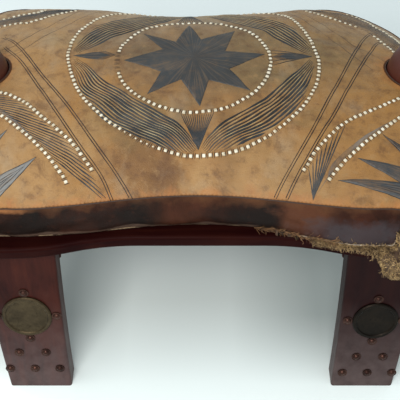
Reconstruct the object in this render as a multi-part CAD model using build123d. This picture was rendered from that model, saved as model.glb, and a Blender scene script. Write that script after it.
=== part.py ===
from build123d import *
import os
from math import asin, atan2, cos, degrees, hypot, pi, sin, sqrt, tan

# Camel saddle stool: four splayed leg boards, two end yokes, two side rails, seat slats,
# two leaning turned pommels and a loose, crowned leather cushion stuffed with straw.
# Millimetres. X runs along the seat, -Y is the front, Z is up, the floor is z = 0 and the
# origin is on the floor under the middle of the cushion and of the pair of pommels.

# whole object
frame_shift = 5.0        # legs, yokes and rails stand this far to the right of the pommels' middle
joint_gap = 0.3          # running clearance round pieces that come apart or are bored loosely
overrun = 20.0           # how far every cutting tool runs past what it cuts

# legs
leg_top_height = 230.0
leg_foot_reach = 261.5   # front face at the floor, from the middle
leg_top_reach = 209.6    # front face at the rail
leg_thickness = 30.0
leg_inner_foot = 180.0
leg_inner_top = 181.0
leg_outer_foot = 265.0
leg_outer_top = 278.0
leg_edge_bow = 2.0       # how far the long edges bow outwards
leg_arris = 3.5

# yokes across each end
yoke_inner = 181.0
yoke_outer = 285.0
yoke_end_depth = 42.0
yoke_middle_depth = 44.0
yoke_arris = 3.0

# side rails
rail_thickness = 18.5
rail_half_length = 290.0
rail_inner_reach = 150.0
rail_waist_reach = 205.0
rail_end_reach = 226.0
rail_waist_run = 80.0    # straight stretch each side of the middle
rail_ogee_end = 240.0
rail_corner = 22.0
rail_arris = 5.0

# seat slats, let into the rails from above
slat_count = 4
slat_pitch = 90.0
slat_width = 60.0
slat_thickness = 12.0
slat_bearing = 15.0
slat_arris = 1.5
nail_radius = 1.4
nail_head_radius = 3.2
nail_head_thickness = 1.2
nail_length = 17.0
nail_setback = 7.0       # from the slat's end to its nail

# screws that hold the rails down to the yokes
screw_radius = 2.3
screw_head_radius = 4.6
screw_length = 44.0
screw_reach = 164.0
screw_inset = 15.0       # from the yoke's inner and outer side
screw_sink = 0.5

# dowels between the legs and the yokes
dowel_radius = 5.0
dowel_in_leg = 16.0
dowel_in_yoke = 24.0
dowel_inset = 30.0       # from the yoke's inner and outer side
dowel_slack = 1.0        # empty end of each blind hole

# pommels
pommel_foot_x = 256.0    # where the leaning axis meets the seat level
knob_x = 285.0
knob_height = 101.5      # above the seat level
knob_radius = 35.0
knob_top = 40.0          # crown of the knob above its widest ring
pommel_foot_radius = 20.0
pommel_bead = 2.5
pommel_bead_height = 9.0
neck_radius = 17.5
neck_height = 34.0
tenon_radius = 13.0
tenon_length = 34.0
pin_radius = 3.5
pin_drop = 17.0          # from the seat level to the pin
pin_past_axis = 24.0
knob_shoulder_shares = (0.72, 0.80)   # of the knob's radius, of its crown

# brass discs on the legs, left and right ones of different size
disc_radius_left = 32.5
disc_radius_right = 30.0
disc_height_left = 129.0     # up the leg's face to the disc's middle
disc_height_right = 121.0
disc_thickness = 2.0
disc_rim_width = 4.5
disc_rim_rise = 1.4
disc_mid_x = 228.0

# nail studs round the discs and below them
stud_radius = 6.3
stud_flange = 1.3
stud_dome_radius = 4.6
stud_dome_height = 2.8
stud_shank_side = 2.2
stud_shank_length = 14.0
stud_rim_gap = 0.1           # between a disc's rim and the four studs round it
stud_middle_drop = 65.0      # disc's middle to the row of two
stud_middle_spacing = 36.0
stud_bottom_drop = 95.0      # disc's middle to the row of three
stud_bottom_spacing = 34.0

# cushion
cushion_half_length = 308.0
cushion_half_depth = 191.5   # at the seam, at the waist
cushion_end_flare = 20.0     # how much deeper it is at the ends
cushion_shoulder = 215.0     # from the middle to where the sides stop widening
base_inset = 7.0             # the base is this much narrower than the seam
boxing_height = 56.0
boxing_bulge = 4.0
crown_rise = 57.0
crown_end_fall = 20.0
corner_radius = 60.0
worn_corner_radius = 110.0   # rear right, where the cushion has slumped
corner_margin = 2.5          # the corners' rounding starts this far outside the seam
leather_thickness = 3.0
notch_margin = 3.0           # round the knob
end_roll = 9.0               # how far the top rolls down at the two ends
end_roll_run = 22.0

# torn seam at the front right and the straw that shows there
tear_start = 96.0
tear_end = 288.0
tear_height_start = 3.0
tear_height_end = 13.0
tear_reach_in = 14.0
straw_radius = 15.0
straw_place_shares = (0.0, 0.27, 0.52, 0.72, 0.9, 1.0)    # along the tear
straw_size_shares = (0.16, 0.4, 0.62, 1.0, 0.85, 0.36)    # of the straw's radius
straw_proud = 2.0            # straw's middle line outside the seam line
straw_rise = 3.0             # straw's middle line above the seat level
tuft_x = 236.0
tuft_radius = 19.0
tuft_drop = 24.0             # how far it hangs below the seat level
tuft_gap = 0.8               # in front of the rail's edge
tuft_size_shares = (0.9, 1.0, 0.82, 0.4)                  # of the tuft's radius
tuft_fall_shares = (-0.35, 0.1, 0.6, 1.0)                 # of the drop, from the seat level
tuft_lead_shares = (0.0, 0.62, 0.95, 1.0)                 # from the seam line to the hanging middle

# worked-out places
splay = atan2(leg_foot_reach - leg_top_reach, leg_top_height)
seat_level = leg_top_height + rail_thickness
cushion_floor = seat_level + joint_gap
lean = atan2(knob_x - pommel_foot_x, knob_height)
knob_along = hypot(knob_x - pommel_foot_x, knob_height)
leg_face = Plane(origin=(0, -leg_foot_reach, 0), x_dir=(1, 0, 0), z_dir=(0, -cos(splay), sin(splay)))
leg_face_length = leg_top_height / cos(splay)
block_reach = cushion_half_length + knob_radius + overrun


def on_leg(x, up, out):
    """Place on the front right leg's face: across, up the face and out of it."""
    return leg_face.location * Pos(x, up, out)


def corners(piece):
    """The piece and its mirror images at the four legs, by name."""
    shift = Pos(frame_shift, 0, 0)
    left = piece.mirror(Plane.YZ)
    return {"front_right": shift * piece, "front_left": shift * left,
            "rear_right": shift * piece.mirror(Plane.XZ), "rear_left": shift * left.mirror(Plane.XZ)}


def slab(low, high):
    """A wide block between two heights."""
    return Pos(0, 0, (low + high) / 2) * Box(2 * block_reach, 2 * block_reach, high - low)


def join(pieces):
    """Separate solids that share one node."""
    return Compound([solid for piece in pieces for solid in piece.solids()])


# leg board: bowed outline, rounded long edges, cut level at the floor and under the rail
def make_leg():
    rings = []
    for place, bow in ((-overrun, 0), (leg_face_length / 2, leg_edge_bow), (leg_face_length + overrun, 0)):
        climb = place / leg_face_length
        inner = leg_inner_foot + climb * (leg_inner_top - leg_inner_foot) + bow
        outer = leg_outer_foot + climb * (leg_outer_top - leg_outer_foot) + bow
        middle = ((inner + outer) / 2, place, -leg_thickness / 2)
        across = Plane(origin=middle, x_dir=(1, 0, 0), z_dir=(0, 1, 0))
        rings.append(across * RectangleRounded(outer - inner, leg_thickness, leg_arris))
    board = leg_face.location * loft(rings)
    return board & slab(0, leg_top_height)


def dowel_places():
    up = (leg_top_height - yoke_end_depth / 2 + leg_thickness * sin(splay)) / cos(splay)
    for x in (yoke_inner + dowel_inset, yoke_outer - dowel_inset):
        yield on_leg(x, up, -leg_thickness)


def dowels(radius, extra):
    """The two dowels of one leg, or their bores when grown by a clearance."""
    length = dowel_in_leg + dowel_in_yoke + 2 * extra
    middle = (dowel_in_leg - dowel_in_yoke) / 2
    return [place * Pos(0, 0, middle) * Cylinder(radius, length) for place in dowel_places()]


# yoke: rebated at both ends for the rails, bevelled to the legs' backs, arched below
def back_of_leg(height):
    front = leg_foot_reach - (leg_foot_reach - leg_top_reach) * height / leg_top_height
    return front - leg_thickness / cos(splay)


def make_yoke(mortise_x):
    end_low = leg_top_height - yoke_end_depth
    low_reach = back_of_leg(end_low)
    outline = Polyline((-low_reach, end_low), (-back_of_leg(leg_top_height), leg_top_height),
                       (-rail_inner_reach, leg_top_height), (-rail_inner_reach, seat_level),
                       (rail_inner_reach, seat_level), (rail_inner_reach, leg_top_height),
                       (back_of_leg(leg_top_height), leg_top_height), (low_reach, end_low))
    outline += ThreePointArc((low_reach, end_low), (0, seat_level - yoke_middle_depth), (-low_reach, end_low))
    block = extrude(Plane.YZ * make_face(outline), yoke_outer - yoke_inner)
    block = Pos(yoke_inner, 0, 0) * block
    under = [edge for edge in block.edges() if edge.length > 2 * rail_inner_reach
             and edge.center().Z < leg_top_height]
    block = chamfer(under, yoke_arris)
    block -= pommel_tenon(mortise_x, joint_gap)
    block -= pommel_pin(mortise_x, pin_radius + joint_gap, overrun)
    return block


# side rail: a flat board whose outer edge runs out in an ogee over each leg
def make_rail():
    step = (rail_end_reach - rail_waist_reach) / 2
    turn = ((rail_waist_run + rail_ogee_end) / 2, -rail_waist_reach - step)
    start = (rail_waist_run, -rail_waist_reach)
    end = (rail_ogee_end, -rail_end_reach)
    corner = (rail_half_length, -rail_end_reach)
    half = Line((0, -rail_waist_reach), start)
    half += TangentArc(start, turn, tangent=(1, 0))
    half += TangentArc(end, turn, tangent=(-1, 0))
    half += Polyline(end, corner, (rail_half_length, -rail_inner_reach), (0, -rail_inner_reach),
                     (0, -rail_waist_reach))
    right = extrude(make_face(half), rail_thickness)
    board = right + right.mirror(Plane.YZ)
    posts = board.edges().filter_by(Axis.Z)
    front = [edge for edge in posts if edge.center().Y < -rail_waist_reach]
    outer = [edge for edge in front if abs(edge.center().X) > rail_ogee_end]
    board = fillet(outer, rail_corner)
    board = fillet(outer_rims(board), rail_arris)
    return Pos(0, 0, leg_top_height) * board


def outer_rims(board):
    """Top and bottom edges along the outside of the rail."""
    rims = []
    for edge in board.edges():
        box = edge.bounding_box()
        level = box.max.Z - box.min.Z < joint_gap
        if level and box.min.Y < -rail_waist_reach + rail_arris and box.max.Y < -rail_inner_reach:
            rims.append(edge)
    return rims


def slat_places():
    first = -slat_pitch * (slat_count - 1) / 2
    return [first + slat_pitch * index for index in range(slat_count)]


def make_slat(x):
    length = 2 * (rail_inner_reach + slat_bearing)
    board = Pos(x, 0, seat_level - slat_thickness / 2) * Box(slat_width, length, slat_thickness)
    return chamfer(board.edges().filter_by(Axis.Y), slat_arris)


def slat_rebate(x):
    reach = rail_inner_reach + slat_bearing
    depth = slat_thickness
    block = Box(slat_width, 2 * reach, depth + overrun)
    return Pos(x, 0, seat_level - depth + (depth + overrun) / 2) * block


def nail(x, y, extra):
    """A flat-headed nail down through a slat into the rail, or its bore."""
    shank = Pos(x, y, seat_level - nail_length / 2) * Cylinder(nail_radius + extra, nail_length)
    head_middle = seat_level - nail_head_thickness / 2
    head = Pos(x, y, head_middle) * Cylinder(nail_head_radius + extra, nail_head_thickness)
    return shank + head


def nail_places():
    reach = rail_inner_reach + slat_bearing - nail_setback
    return [(x, side * reach) for x in slat_places() for side in (-1, 1)]


def screw(x, y, extra):
    """A countersunk wood screw down through a rail into a yoke, or its bore."""
    top = seat_level - screw_sink
    shank = Pos(x, y, top - screw_length / 2) * Cylinder(screw_radius + extra, screw_length)
    cone_height = screw_head_radius - screw_radius
    cone = Pos(x, y, top - cone_height / 2) * Cone(screw_radius + extra, screw_head_radius + extra, cone_height)
    return shank + cone


def screw_places():
    across = (yoke_inner + screw_inset, yoke_outer - screw_inset)
    return [(side * x, front * screw_reach) for side in (-1, 1) for x in across for front in (-1, 1)]


# pommel: leaning turned knob on a bead and neck, with a round tenon
def pommel_axis(x):
    """Placement at the seat level on the leaning axis of a pommel standing at x on the right."""
    return Pos(x, 0, seat_level) * Rot(0, degrees(lean), 0)


def pommel_tenon(x, extra):
    length = tenon_length + extra + overrun
    return pommel_axis(x) * Pos(0, 0, overrun - length / 2) * Cylinder(tenon_radius + extra, length)


def pommel_pin(x, radius, past_side):
    inner = x - pin_drop * tan(lean) - pin_past_axis
    outer = yoke_outer + past_side
    place = Pos((inner + outer) / 2, 0, seat_level - pin_drop) * Rot(0, 90, 0)
    return place * Cylinder(radius, outer - inner)


def make_pommel(x):
    crown = knob_along + knob_top
    shoulder = (knob_shoulder_shares[0] * knob_radius, knob_along + knob_shoulder_shares[1] * knob_top)
    bead_side = (pommel_foot_radius + pommel_bead, pommel_bead_height / 2)
    outline = Polyline((0, crown), (0, -overrun), (pommel_foot_radius, -overrun), (pommel_foot_radius, 0))
    outline += ThreePointArc((pommel_foot_radius, 0), bead_side, (pommel_foot_radius, pommel_bead_height))
    outline += Spline((pommel_foot_radius, pommel_bead_height), (neck_radius, neck_height),
                      (knob_radius, knob_along), shoulder, (0, crown),
                      tangents=((-1, 1), (-1, 0)))
    turned = revolve(Plane.XZ * make_face(outline), Axis.Z)
    turned = pommel_axis(x) * turned
    turned &= slab(seat_level, seat_level + 2 * crown)
    tenon = pommel_axis(x) * Pos(0, 0, -tenon_length / 2 + pommel_bead_height / 2)
    tenon *= Cylinder(tenon_radius, tenon_length + pommel_bead_height)
    turned += tenon
    turned -= pommel_pin(x, pin_radius + joint_gap, overrun)
    return turned


# brass disc with a raised rim
def make_disc(radius, height):
    rim = radius - disc_rim_width
    top = disc_thickness + disc_rim_rise
    outline = Polyline((0, 0), (radius, 0), (radius, disc_thickness), (radius - disc_rim_rise, top),
                       (rim, top), (rim - disc_rim_rise, disc_thickness), (0, disc_thickness), (0, 0))
    plate = revolve(Plane.XZ * make_face(outline), Axis.Z)
    return on_leg(disc_mid_x, height, 0) * plate


def stud_places(radius, height):
    ring = radius + stud_rim_gap + stud_radius
    yield from ((disc_mid_x, height + ring), (disc_mid_x, height - ring))
    yield from ((disc_mid_x - ring, height), (disc_mid_x + ring, height))
    for side in (-1, 1):
        yield disc_mid_x + side * stud_middle_spacing / 2, height - stud_middle_drop
    for side in (-1, 0, 1):
        yield disc_mid_x + side * stud_bottom_spacing, height - stud_bottom_drop


def stud_shank(extra):
    """Square shank of a stud, or its hole when grown by a clearance."""
    side, length = stud_shank_side + 2 * extra, stud_shank_length + 2 * extra
    return Pos(0, 0, -length / 2) * Box(side, side, length)


def make_stud():
    """Stepped dome-headed nail, its head on the face and its shank in the wood."""
    top = stud_flange + stud_dome_height
    ball = (stud_dome_radius ** 2 + stud_dome_height ** 2) / (2 * stud_dome_height)
    half_turn = asin(stud_dome_radius / ball) / 2
    dome = (ball * sin(half_turn), top - ball + ball * cos(half_turn))
    outline = Polyline((0, top), (0, 0), (stud_radius, 0), (stud_radius, stud_flange),
                       (stud_dome_radius, stud_flange))
    outline += ThreePointArc((stud_dome_radius, stud_flange), dome, (0, top))
    head = revolve(Plane.XZ * make_face(outline), Axis.Z)
    return head + stud_shank(0)


# cushion: lofted through cross sections, crowned, waisted along both sides
def seam_reach(x):
    """Half depth at the seam, widening in a soft S from the waist to the shoulders."""
    run = min(abs(x) / cushion_shoulder, 1)
    return cushion_half_depth + cushion_end_flare * (1 - cos(pi * run)) / 2


def crown_height(x):
    seam = cushion_floor + boxing_height
    roll = max(0, abs(x) - (cushion_half_length - end_roll_run)) / end_roll_run
    return seam + crown_rise - crown_end_fall * (x / cushion_half_length) ** 2 - end_roll * roll ** 2


def crown_arc_height(x, y):
    """Height of the crowned top on its circular arc from seam to seam."""
    rise = crown_height(x) - cushion_floor - boxing_height
    radius = (seam_reach(x) ** 2 + rise ** 2) / (2 * rise)
    return crown_height(x) - radius + sqrt(radius ** 2 - y ** 2)


def cushion_stations():
    roll_start = cushion_half_length - end_roll_run
    shares = (-1, -2 / 3, -1 / 3, 0, 1 / 3, 2 / 3, 1)
    inner = [share * roll_start for share in shares]
    return [-cushion_half_length - joint_gap] + inner + [cushion_half_length + joint_gap]


def side_arc(x, inset, sign):
    seam = cushion_floor + boxing_height
    reach = seam_reach(x) - inset
    middle = reach - base_inset / 2 + boxing_bulge
    low, high = (reach - base_inset, cushion_floor), (reach, seam)
    points = [(sign * low[0], low[1]), (sign * middle, (cushion_floor + seam) / 2), (sign * high[0], high[1])]
    return points if sign > 0 else points[::-1]


def crowned_section(x):
    """Cross section of the whole cushion at x."""
    right, left = side_arc(x, 0, 1), side_arc(x, 0, -1)
    outline = Line(left[2], right[0])
    outline += ThreePointArc(*right)
    outline += ThreePointArc(right[2], (0, crown_height(x)), left[0])
    outline += ThreePointArc(*left)
    return Plane.YZ.offset(x) * make_face(outline)


def under_section(x):
    """Everything below the underside of the leather top at x."""
    reach = seam_reach(x) + overrun
    low = cushion_floor - overrun
    edge = crown_arc_height(x, reach) - leather_thickness
    middle = crown_height(x) - leather_thickness
    outline = Polyline((-reach, edge), (-reach, low), (reach, low), (reach, edge))
    outline += ThreePointArc((reach, edge), (0, middle), (-reach, edge))
    return Plane.YZ.offset(x) * make_face(outline)


def inner_section(x):
    """Space inside the boxing at x, open past the crown."""
    right, left = side_arc(x, leather_thickness, 1), side_arc(x, leather_thickness, -1)
    high = cushion_floor + boxing_height + crown_rise + overrun
    outline = Line(left[2], right[0])
    outline += ThreePointArc(*right)
    outline += Polyline(right[2], (right[2][0], high), (left[0][0], high), left[0])
    outline += ThreePointArc(*left)
    return Plane.YZ.offset(x) * make_face(outline)


def end_outline(inset):
    """Tall prism with the cushion's ends, rounded corners and pommel notches."""
    length = 2 * (cushion_half_length - inset)
    width = 2 * (cushion_half_depth + cushion_end_flare + corner_margin - inset)
    low, high = cushion_floor - overrun, cushion_floor + boxing_height + crown_rise + 2 * overrun
    plan = Rectangle(length, width)
    worn = plan.vertices().sort_by(Axis((0, 0, 0), (1, 1, 0)))[-1]
    plan = fillet(worn, worn_corner_radius - inset)
    reach = (length + width) / 2 - joint_gap
    square = [place for place in plan.vertices() if abs(place.X) + abs(place.Y) > reach]
    plan = fillet(square, corner_radius - inset)
    prism = Pos(0, 0, low) * extrude(plan, high - low)
    notch = pommel_notch(inset)
    return prism - notch - notch.mirror(Plane.YZ)


def pommel_notch(inset):
    """Round-ended slot that leans with the pommel and is open at the cushion's end."""
    half_width = knob_radius + notch_margin + inset
    slot = Circle(half_width) + Pos(cushion_half_length / 2, 0) * Rectangle(cushion_half_length, 2 * half_width)
    tall = 2 * (boxing_height + crown_rise)
    return pommel_axis(pommel_foot_x) * Pos(0, 0, -tall / 2) * extrude(slot, 2 * tall)


def tear_gap():
    """Wedge along the base seam where the boxing has torn away, widest at the corner."""
    near, far = seam_reach(tear_start), seam_reach(tear_end)
    faces = []
    for x, reach, height in ((tear_start, near, tear_height_start), (tear_end, far, tear_height_end)):
        low = cushion_floor + leather_thickness
        box = Polyline((-reach - overrun, low), (-reach + tear_reach_in, low),
                       (-reach + tear_reach_in, low + height), (-reach - overrun, low + height), close=True)
        faces.append(Plane.YZ.offset(x) * make_face(box))
    return loft(faces, ruled=True)


def make_straw():
    """Straw that bulges from the torn seam along the rail and hangs over it as a tuft."""
    level = cushion_floor + straw_rise
    rings = []
    for place, size in zip(straw_place_shares, straw_size_shares):
        x = tear_start + place * (tear_end - tear_start)
        middle = Pos(-seam_reach(x) - straw_proud, level)
        rings.append(Plane.YZ.offset(x) * middle * Circle(size * straw_radius))
    seam = seam_reach(tuft_x)
    hanging = rail_end_reach + tuft_gap + tuft_radius * tuft_size_shares[2]
    hank = []
    for size, fall, lead in zip(tuft_size_shares, tuft_fall_shares, tuft_lead_shares):
        ring = Pos(tuft_x, -seam - lead * (hanging - seam), cushion_floor - fall * tuft_drop)
        hank.append(ring * Circle(size * tuft_radius))
    return loft(rings) + loft(hank)


def make_cushion():
    body = loft([crowned_section(x) for x in cushion_stations()]) & end_outline(0)
    under = loft([under_section(x) for x in cushion_stations()])
    inner = loft([inner_section(x) for x in cushion_stations()]) & end_outline(leather_thickness)
    floor = slab(cushion_floor - overrun, cushion_floor + leather_thickness)
    top = body - under
    lower = body & under
    base = lower & floor
    band = lower - floor
    filling = band & inner
    boxing = (band - inner) - tear_gap()
    straw = make_straw() - filling - boxing - base
    keep_out = rail_with_gap()
    straw -= keep_out
    return {"cushion_top": top, "cushion_boxing": boxing, "cushion_base": base,
            "cushion_filling": filling, "straw_tuft": straw}


def rail_with_gap():
    """Space under the straw that the front rail and its clearance take up."""
    reach = rail_end_reach + tuft_gap
    width = reach - rail_inner_reach
    block = Box(2 * rail_half_length, width, rail_thickness + overrun)
    return Pos(frame_shift, -reach + width / 2, cushion_floor - (rail_thickness + overrun) / 2) * block


# everything by name
def build():
    nodes = {}
    shift = Pos(frame_shift, 0, 0)
    leg = make_leg()
    bores = dowels(dowel_radius + joint_gap / 2, dowel_slack)
    discs = {"left": (disc_radius_left, disc_height_left), "right": (disc_radius_right, disc_height_right)}
    stud = make_stud()
    shank_bore = stud_shank(joint_gap / 2)
    for bore in bores:
        leg -= bore
    boards = {}
    for side, (radius, height) in discs.items():
        places = list(stud_places(radius, height))
        board = leg
        for x, up in places:
            board -= on_leg(x, up, 0) * shank_bore
        boards[side] = (board, make_disc(radius, height), join(on_leg(x, up, 0) * stud for x, up in places))
    for side, pieces in boards.items():
        for piece, title in zip(pieces, ("leg", "disc", "studs")):
            for corner, placed in corners(piece).items():
                if corner.endswith(side):
                    nodes[f"{title}_{corner}"] = placed
    nodes["leg_dowels"] = join(placed for pin in dowels(dowel_radius, 0) for placed in corners(pin).values())

    rail = make_rail()
    slats = {x: make_slat(x) for x in slat_places()}
    rails = {"front": rail, "rear": rail.mirror(Plane.XZ)}
    yokes = {"right": make_yoke(pommel_foot_x - frame_shift),
             "left": make_yoke(pommel_foot_x + frame_shift).mirror(Plane.YZ)}
    for name in rails:
        for x in slat_places():
            rails[name] -= slat_rebate(x)
        for x, y in nail_places():
            rails[name] -= nail(x, y, joint_gap / 2)
        for x, y in screw_places():
            rails[name] -= screw(x, y, joint_gap / 2)
        nodes[f"rail_{name}"] = shift * rails[name]
    for name in yokes:
        for x, y in screw_places():
            yokes[name] -= screw(x, y, joint_gap / 2)
        for bore in bores:
            for turned in (bore, bore.mirror(Plane.XZ)):
                yokes[name] -= turned if name == "right" else turned.mirror(Plane.YZ)
        nodes[f"yoke_{name}"] = shift * yokes[name]
    for index, (x, slat) in enumerate(slats.items(), start=1):
        for nail_x, y in nail_places():
            if nail_x == x:
                slat -= nail(nail_x, y, joint_gap / 2)
        nodes[f"seat_slat_{index}"] = shift * slat
    nodes["slat_nails"] = shift * join(nail(x, y, 0) for x, y in nail_places())
    nodes["rail_screws"] = shift * join(screw(x, y, 0) for x, y in screw_places())

    pommel = make_pommel(pommel_foot_x)
    nodes["pommel_right"] = pommel
    nodes["pommel_left"] = pommel.mirror(Plane.YZ)
    pins = [pommel_pin(pommel_foot_x, pin_radius, shift_out) for shift_out in (frame_shift, -frame_shift)]
    nodes["pommel_pins"] = join((pins[0], pins[1].mirror(Plane.YZ)))
    nodes.update(make_cushion())
    return nodes


os.makedirs("parts", exist_ok=True)
for node, shape in build().items():
    export_step(shape, f"parts/{node}.step")
    print(node, round(shape.volume))
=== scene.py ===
# Camel saddle stool: finishes, leather cushion, tooling, lacing and loose straw on the built frame
import math
import random

import bmesh
import bpy
import numpy as np
from mathutils import Matrix, Vector, noise
from mathutils.bvhtree import BVHTree
from mathutils.geometry import delaunay_2d_cdt


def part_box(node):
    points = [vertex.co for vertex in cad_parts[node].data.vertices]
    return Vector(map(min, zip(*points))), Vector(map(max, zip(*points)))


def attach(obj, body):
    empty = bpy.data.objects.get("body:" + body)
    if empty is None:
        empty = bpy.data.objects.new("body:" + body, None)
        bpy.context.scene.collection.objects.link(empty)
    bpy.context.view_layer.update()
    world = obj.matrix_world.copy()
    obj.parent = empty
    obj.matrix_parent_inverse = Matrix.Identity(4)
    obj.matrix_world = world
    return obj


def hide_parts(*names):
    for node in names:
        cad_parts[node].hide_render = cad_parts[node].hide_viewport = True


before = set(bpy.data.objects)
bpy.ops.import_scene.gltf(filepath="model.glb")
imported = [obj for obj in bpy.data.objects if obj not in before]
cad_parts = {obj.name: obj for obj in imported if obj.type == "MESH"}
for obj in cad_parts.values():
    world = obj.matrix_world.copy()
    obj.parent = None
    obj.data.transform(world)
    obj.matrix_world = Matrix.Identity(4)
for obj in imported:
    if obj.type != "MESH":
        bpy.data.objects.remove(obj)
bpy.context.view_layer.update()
print("frame loaded", len(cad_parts), "nodes")


# camera, floor and light
cameraSettings = {
    "place": (0.003, -0.849, 0.984),
    "pitchDown": 46.1,       # degrees
    "lens": 72,
    "sensor": 36,
}


def makeCamera():
    data = bpy.data.cameras.new("camera")
    data.lens = cameraSettings["lens"]
    data.sensor_width = cameraSettings["sensor"]
    camera = bpy.data.objects.new("camera", data)
    camera.location = cameraSettings["place"]
    camera.rotation_euler = (math.radians(90 - cameraSettings["pitchDown"]), 0, 0)
    bpy.context.scene.collection.objects.link(camera)
    bpy.context.scene.camera = camera


def material(name, **values):
    made = bpy.data.materials.new(name)
    made.use_nodes = True
    shader = made.node_tree.nodes["Principled BSDF"]
    for title, value in values.items():
        shader.inputs[title].default_value = value
    return made


stageSettings = {
    "floorSize": 6.0,
    # floor tones from 0.4 m in front of the middle to 0.8 m behind it, darker under the stool: a painted
    # shadow
    "floorTonesWithShadow": [(0.0, (0.92, 1.0, 1.0)), (0.12, (0.88, 0.97, 0.96)), (0.24, (0.66, 0.72, 0.70)),
                   (0.34, (0.61, 0.67, 0.66)), (0.9, (0.84, 0.92, 0.92))],
    "shadedFloor": (0.36, 0.41, 0.40),   # beside the legs, where less daylight reaches
    # the shade along one axis: none at the first place, all at the second, and the least and most of it
    "shadeSides": (("X", 0.05, 0.18, 0.0, 0.95), ("X", -0.10, -0.19, 0.0, 0.85)),
    "shadeEnds": (("Y", -0.26, -0.14), ("Y", 0.30, 0.12), ("reach", 0.60, 0.30)),
    "worldColour": (0.90, 0.97, 1.0, 1),
    "worldStrength": 0.62,
    "lamps": (
        # name, place, where it points, size, power, colour
        ("softboxLeft", (-1.2, 0.3, 1.8), (0, 0, 0.25), 1.4, 12, (1.0, 0.98, 0.95)),
        ("softboxFront", (-0.4, -1.5, 1.4), (-0.1, -0.85, 0), 1.0, 30, (1.0, 0.98, 0.95)),
    ),
}


def makeStage():
    values = stageSettings
    half = values["floorSize"] / 2
    made, tree, shader, coords = begin("floorToneAndShadow", Roughness=0.6)
    place = addNode(tree, "SeparateXYZ", {"Vector": coords}).outputs
    # painted shadow: the floor's colour is darker under the stool and beside its legs
    tone = ramp(tree, ranged(tree, place["Y"], -0.4, 0.8), values["floorTonesWithShadow"])
    reach = addNode(tree, "Math", {0: place["X"]}, operation="ABSOLUTE").outputs[0]
    axes = {"X": place["X"], "Y": place["Y"], "reach": reach}
    shaded = sums(tree, "MAXIMUM", *(ranged(tree, axes[axis], *span) for axis, *span in values["shadeSides"]))
    for axis, *span in values["shadeEnds"]:
        shaded = sums(tree, "MULTIPLY", shaded, ranged(tree, axes[axis], *span))
    plug(tree, shader, Base_Color=mixed(tree, shaded, tone, values["shadedFloor"]))
    outline = [(-half, -half, 0), (half, -half, 0), (half, half, 0), (-half, half, 0)]
    floor = newObject("floor", outline, [(0, 1, 2, 3)], made)
    world = bpy.data.worlds.new("room")
    bpy.context.scene.world = world
    world.use_nodes = True
    sky = world.node_tree.nodes["Background"]
    sky.inputs["Color"].default_value = values["worldColour"]
    sky.inputs["Strength"].default_value = values["worldStrength"]
    for name, place, target, size, power, colour in values["lamps"]:
        lamp = bpy.data.lights.new(name, "AREA")
        lamp.size, lamp.energy, lamp.color = size, power, colour
        holder = bpy.data.objects.new(name, lamp)
        holder.location = place
        aim = Vector(target) - Vector(place)
        holder.rotation_euler = aim.to_track_quat("-Z", "Y").to_euler()
        bpy.context.scene.collection.objects.link(holder)
    bpy.context.scene.view_settings.view_transform = "Standard"
    print("floor, sky and lamps made")


# node helpers for the finishes
def feed(tree, socket, value):
    # a link, a colour or a plain value into a socket
    if isinstance(value, bpy.types.NodeSocket):
        tree.links.new(value, socket)
    elif socket.type == "RGBA":
        socket.default_value = (*value, 1)
    else:
        socket.default_value = value


def addNode(tree, kind, inputs=None, **settings):
    node = tree.nodes.new("ShaderNode" + kind)
    for title, value in settings.items():
        setattr(node, title, value)
    for title, value in (inputs or {}).items():
        feed(tree, node.inputs[title], value)
    return node


def noiseOf(tree, coords, scale, detail=4, rough=0.55, distortion=0.0):
    inputs = {"Vector": coords, "Scale": scale, "Detail": detail, "Roughness": rough,
              "Distortion": distortion}
    return addNode(tree, "TexNoise", inputs).outputs["Fac"]


def uneven(tree, coords, scale, detail, low, high, rough=0.55):
    # cloudy noise spread over a range of values
    return ranged(tree, noiseOf(tree, coords, scale, detail, rough), 0.3, 0.7, low, high)


def stretched(tree, coords, scale, turn=(0, 0, 0)):
    return addNode(tree, "Mapping", {"Vector": coords, "Scale": scale, "Rotation": turn}).outputs["Vector"]


def ranged(tree, value, low, high, toLow=0.0, toHigh=1.0):
    inputs = {"Value": value, "From Min": low, "From Max": high, "To Min": toLow, "To Max": toHigh}
    return addNode(tree, "MapRange", inputs, clamp=True).outputs["Result"]


def ramp(tree, value, stops):
    node = addNode(tree, "ValToRGB", {"Fac": value})
    points = node.color_ramp.elements
    while len(points) < len(stops):
        points.new(0.5)
    for point, (place, colour) in zip(points, stops):
        point.position, point.color = place, (*colour, 1)
    return node.outputs["Color"]


def mixed(tree, share, first, second):
    node = addNode(tree, "Mix", data_type="RGBA")
    # the sockets of a colour mix: its share and its two colours
    for number, value in ((0, share), (6, first), (7, second)):
        feed(tree, node.inputs[number], value)
    return node.outputs[2]


def stained(tree, tone, colour, mask, low, high, most):
    # the tone, covered by a colour as far as the mask goes from low to high
    return mixed(tree, ranged(tree, mask, low, high, 0.0, most), tone, colour)


def sums(tree, kind, first, second):
    node = addNode(tree, "Math", {0: first, 1: second}, operation=kind)
    return node.outputs[0]


def bumped(tree, height, distance, strength=1.0, under=None):
    inputs = {"Height": height, "Distance": distance, "Strength": strength}
    if under:
        inputs["Normal"] = under
    return addNode(tree, "Bump", inputs).outputs["Normal"]


def begin(name, **values):
    made = material(name, **values)
    tree = made.node_tree
    coords = addNode(tree, "TexCoord").outputs["Object"]
    return made, tree, tree.nodes["Principled BSDF"], coords


def plug(tree, shader, **links):
    for title, socket in links.items():
        tree.links.new(socket, shader.inputs[title.replace("_", " ")])


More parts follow.
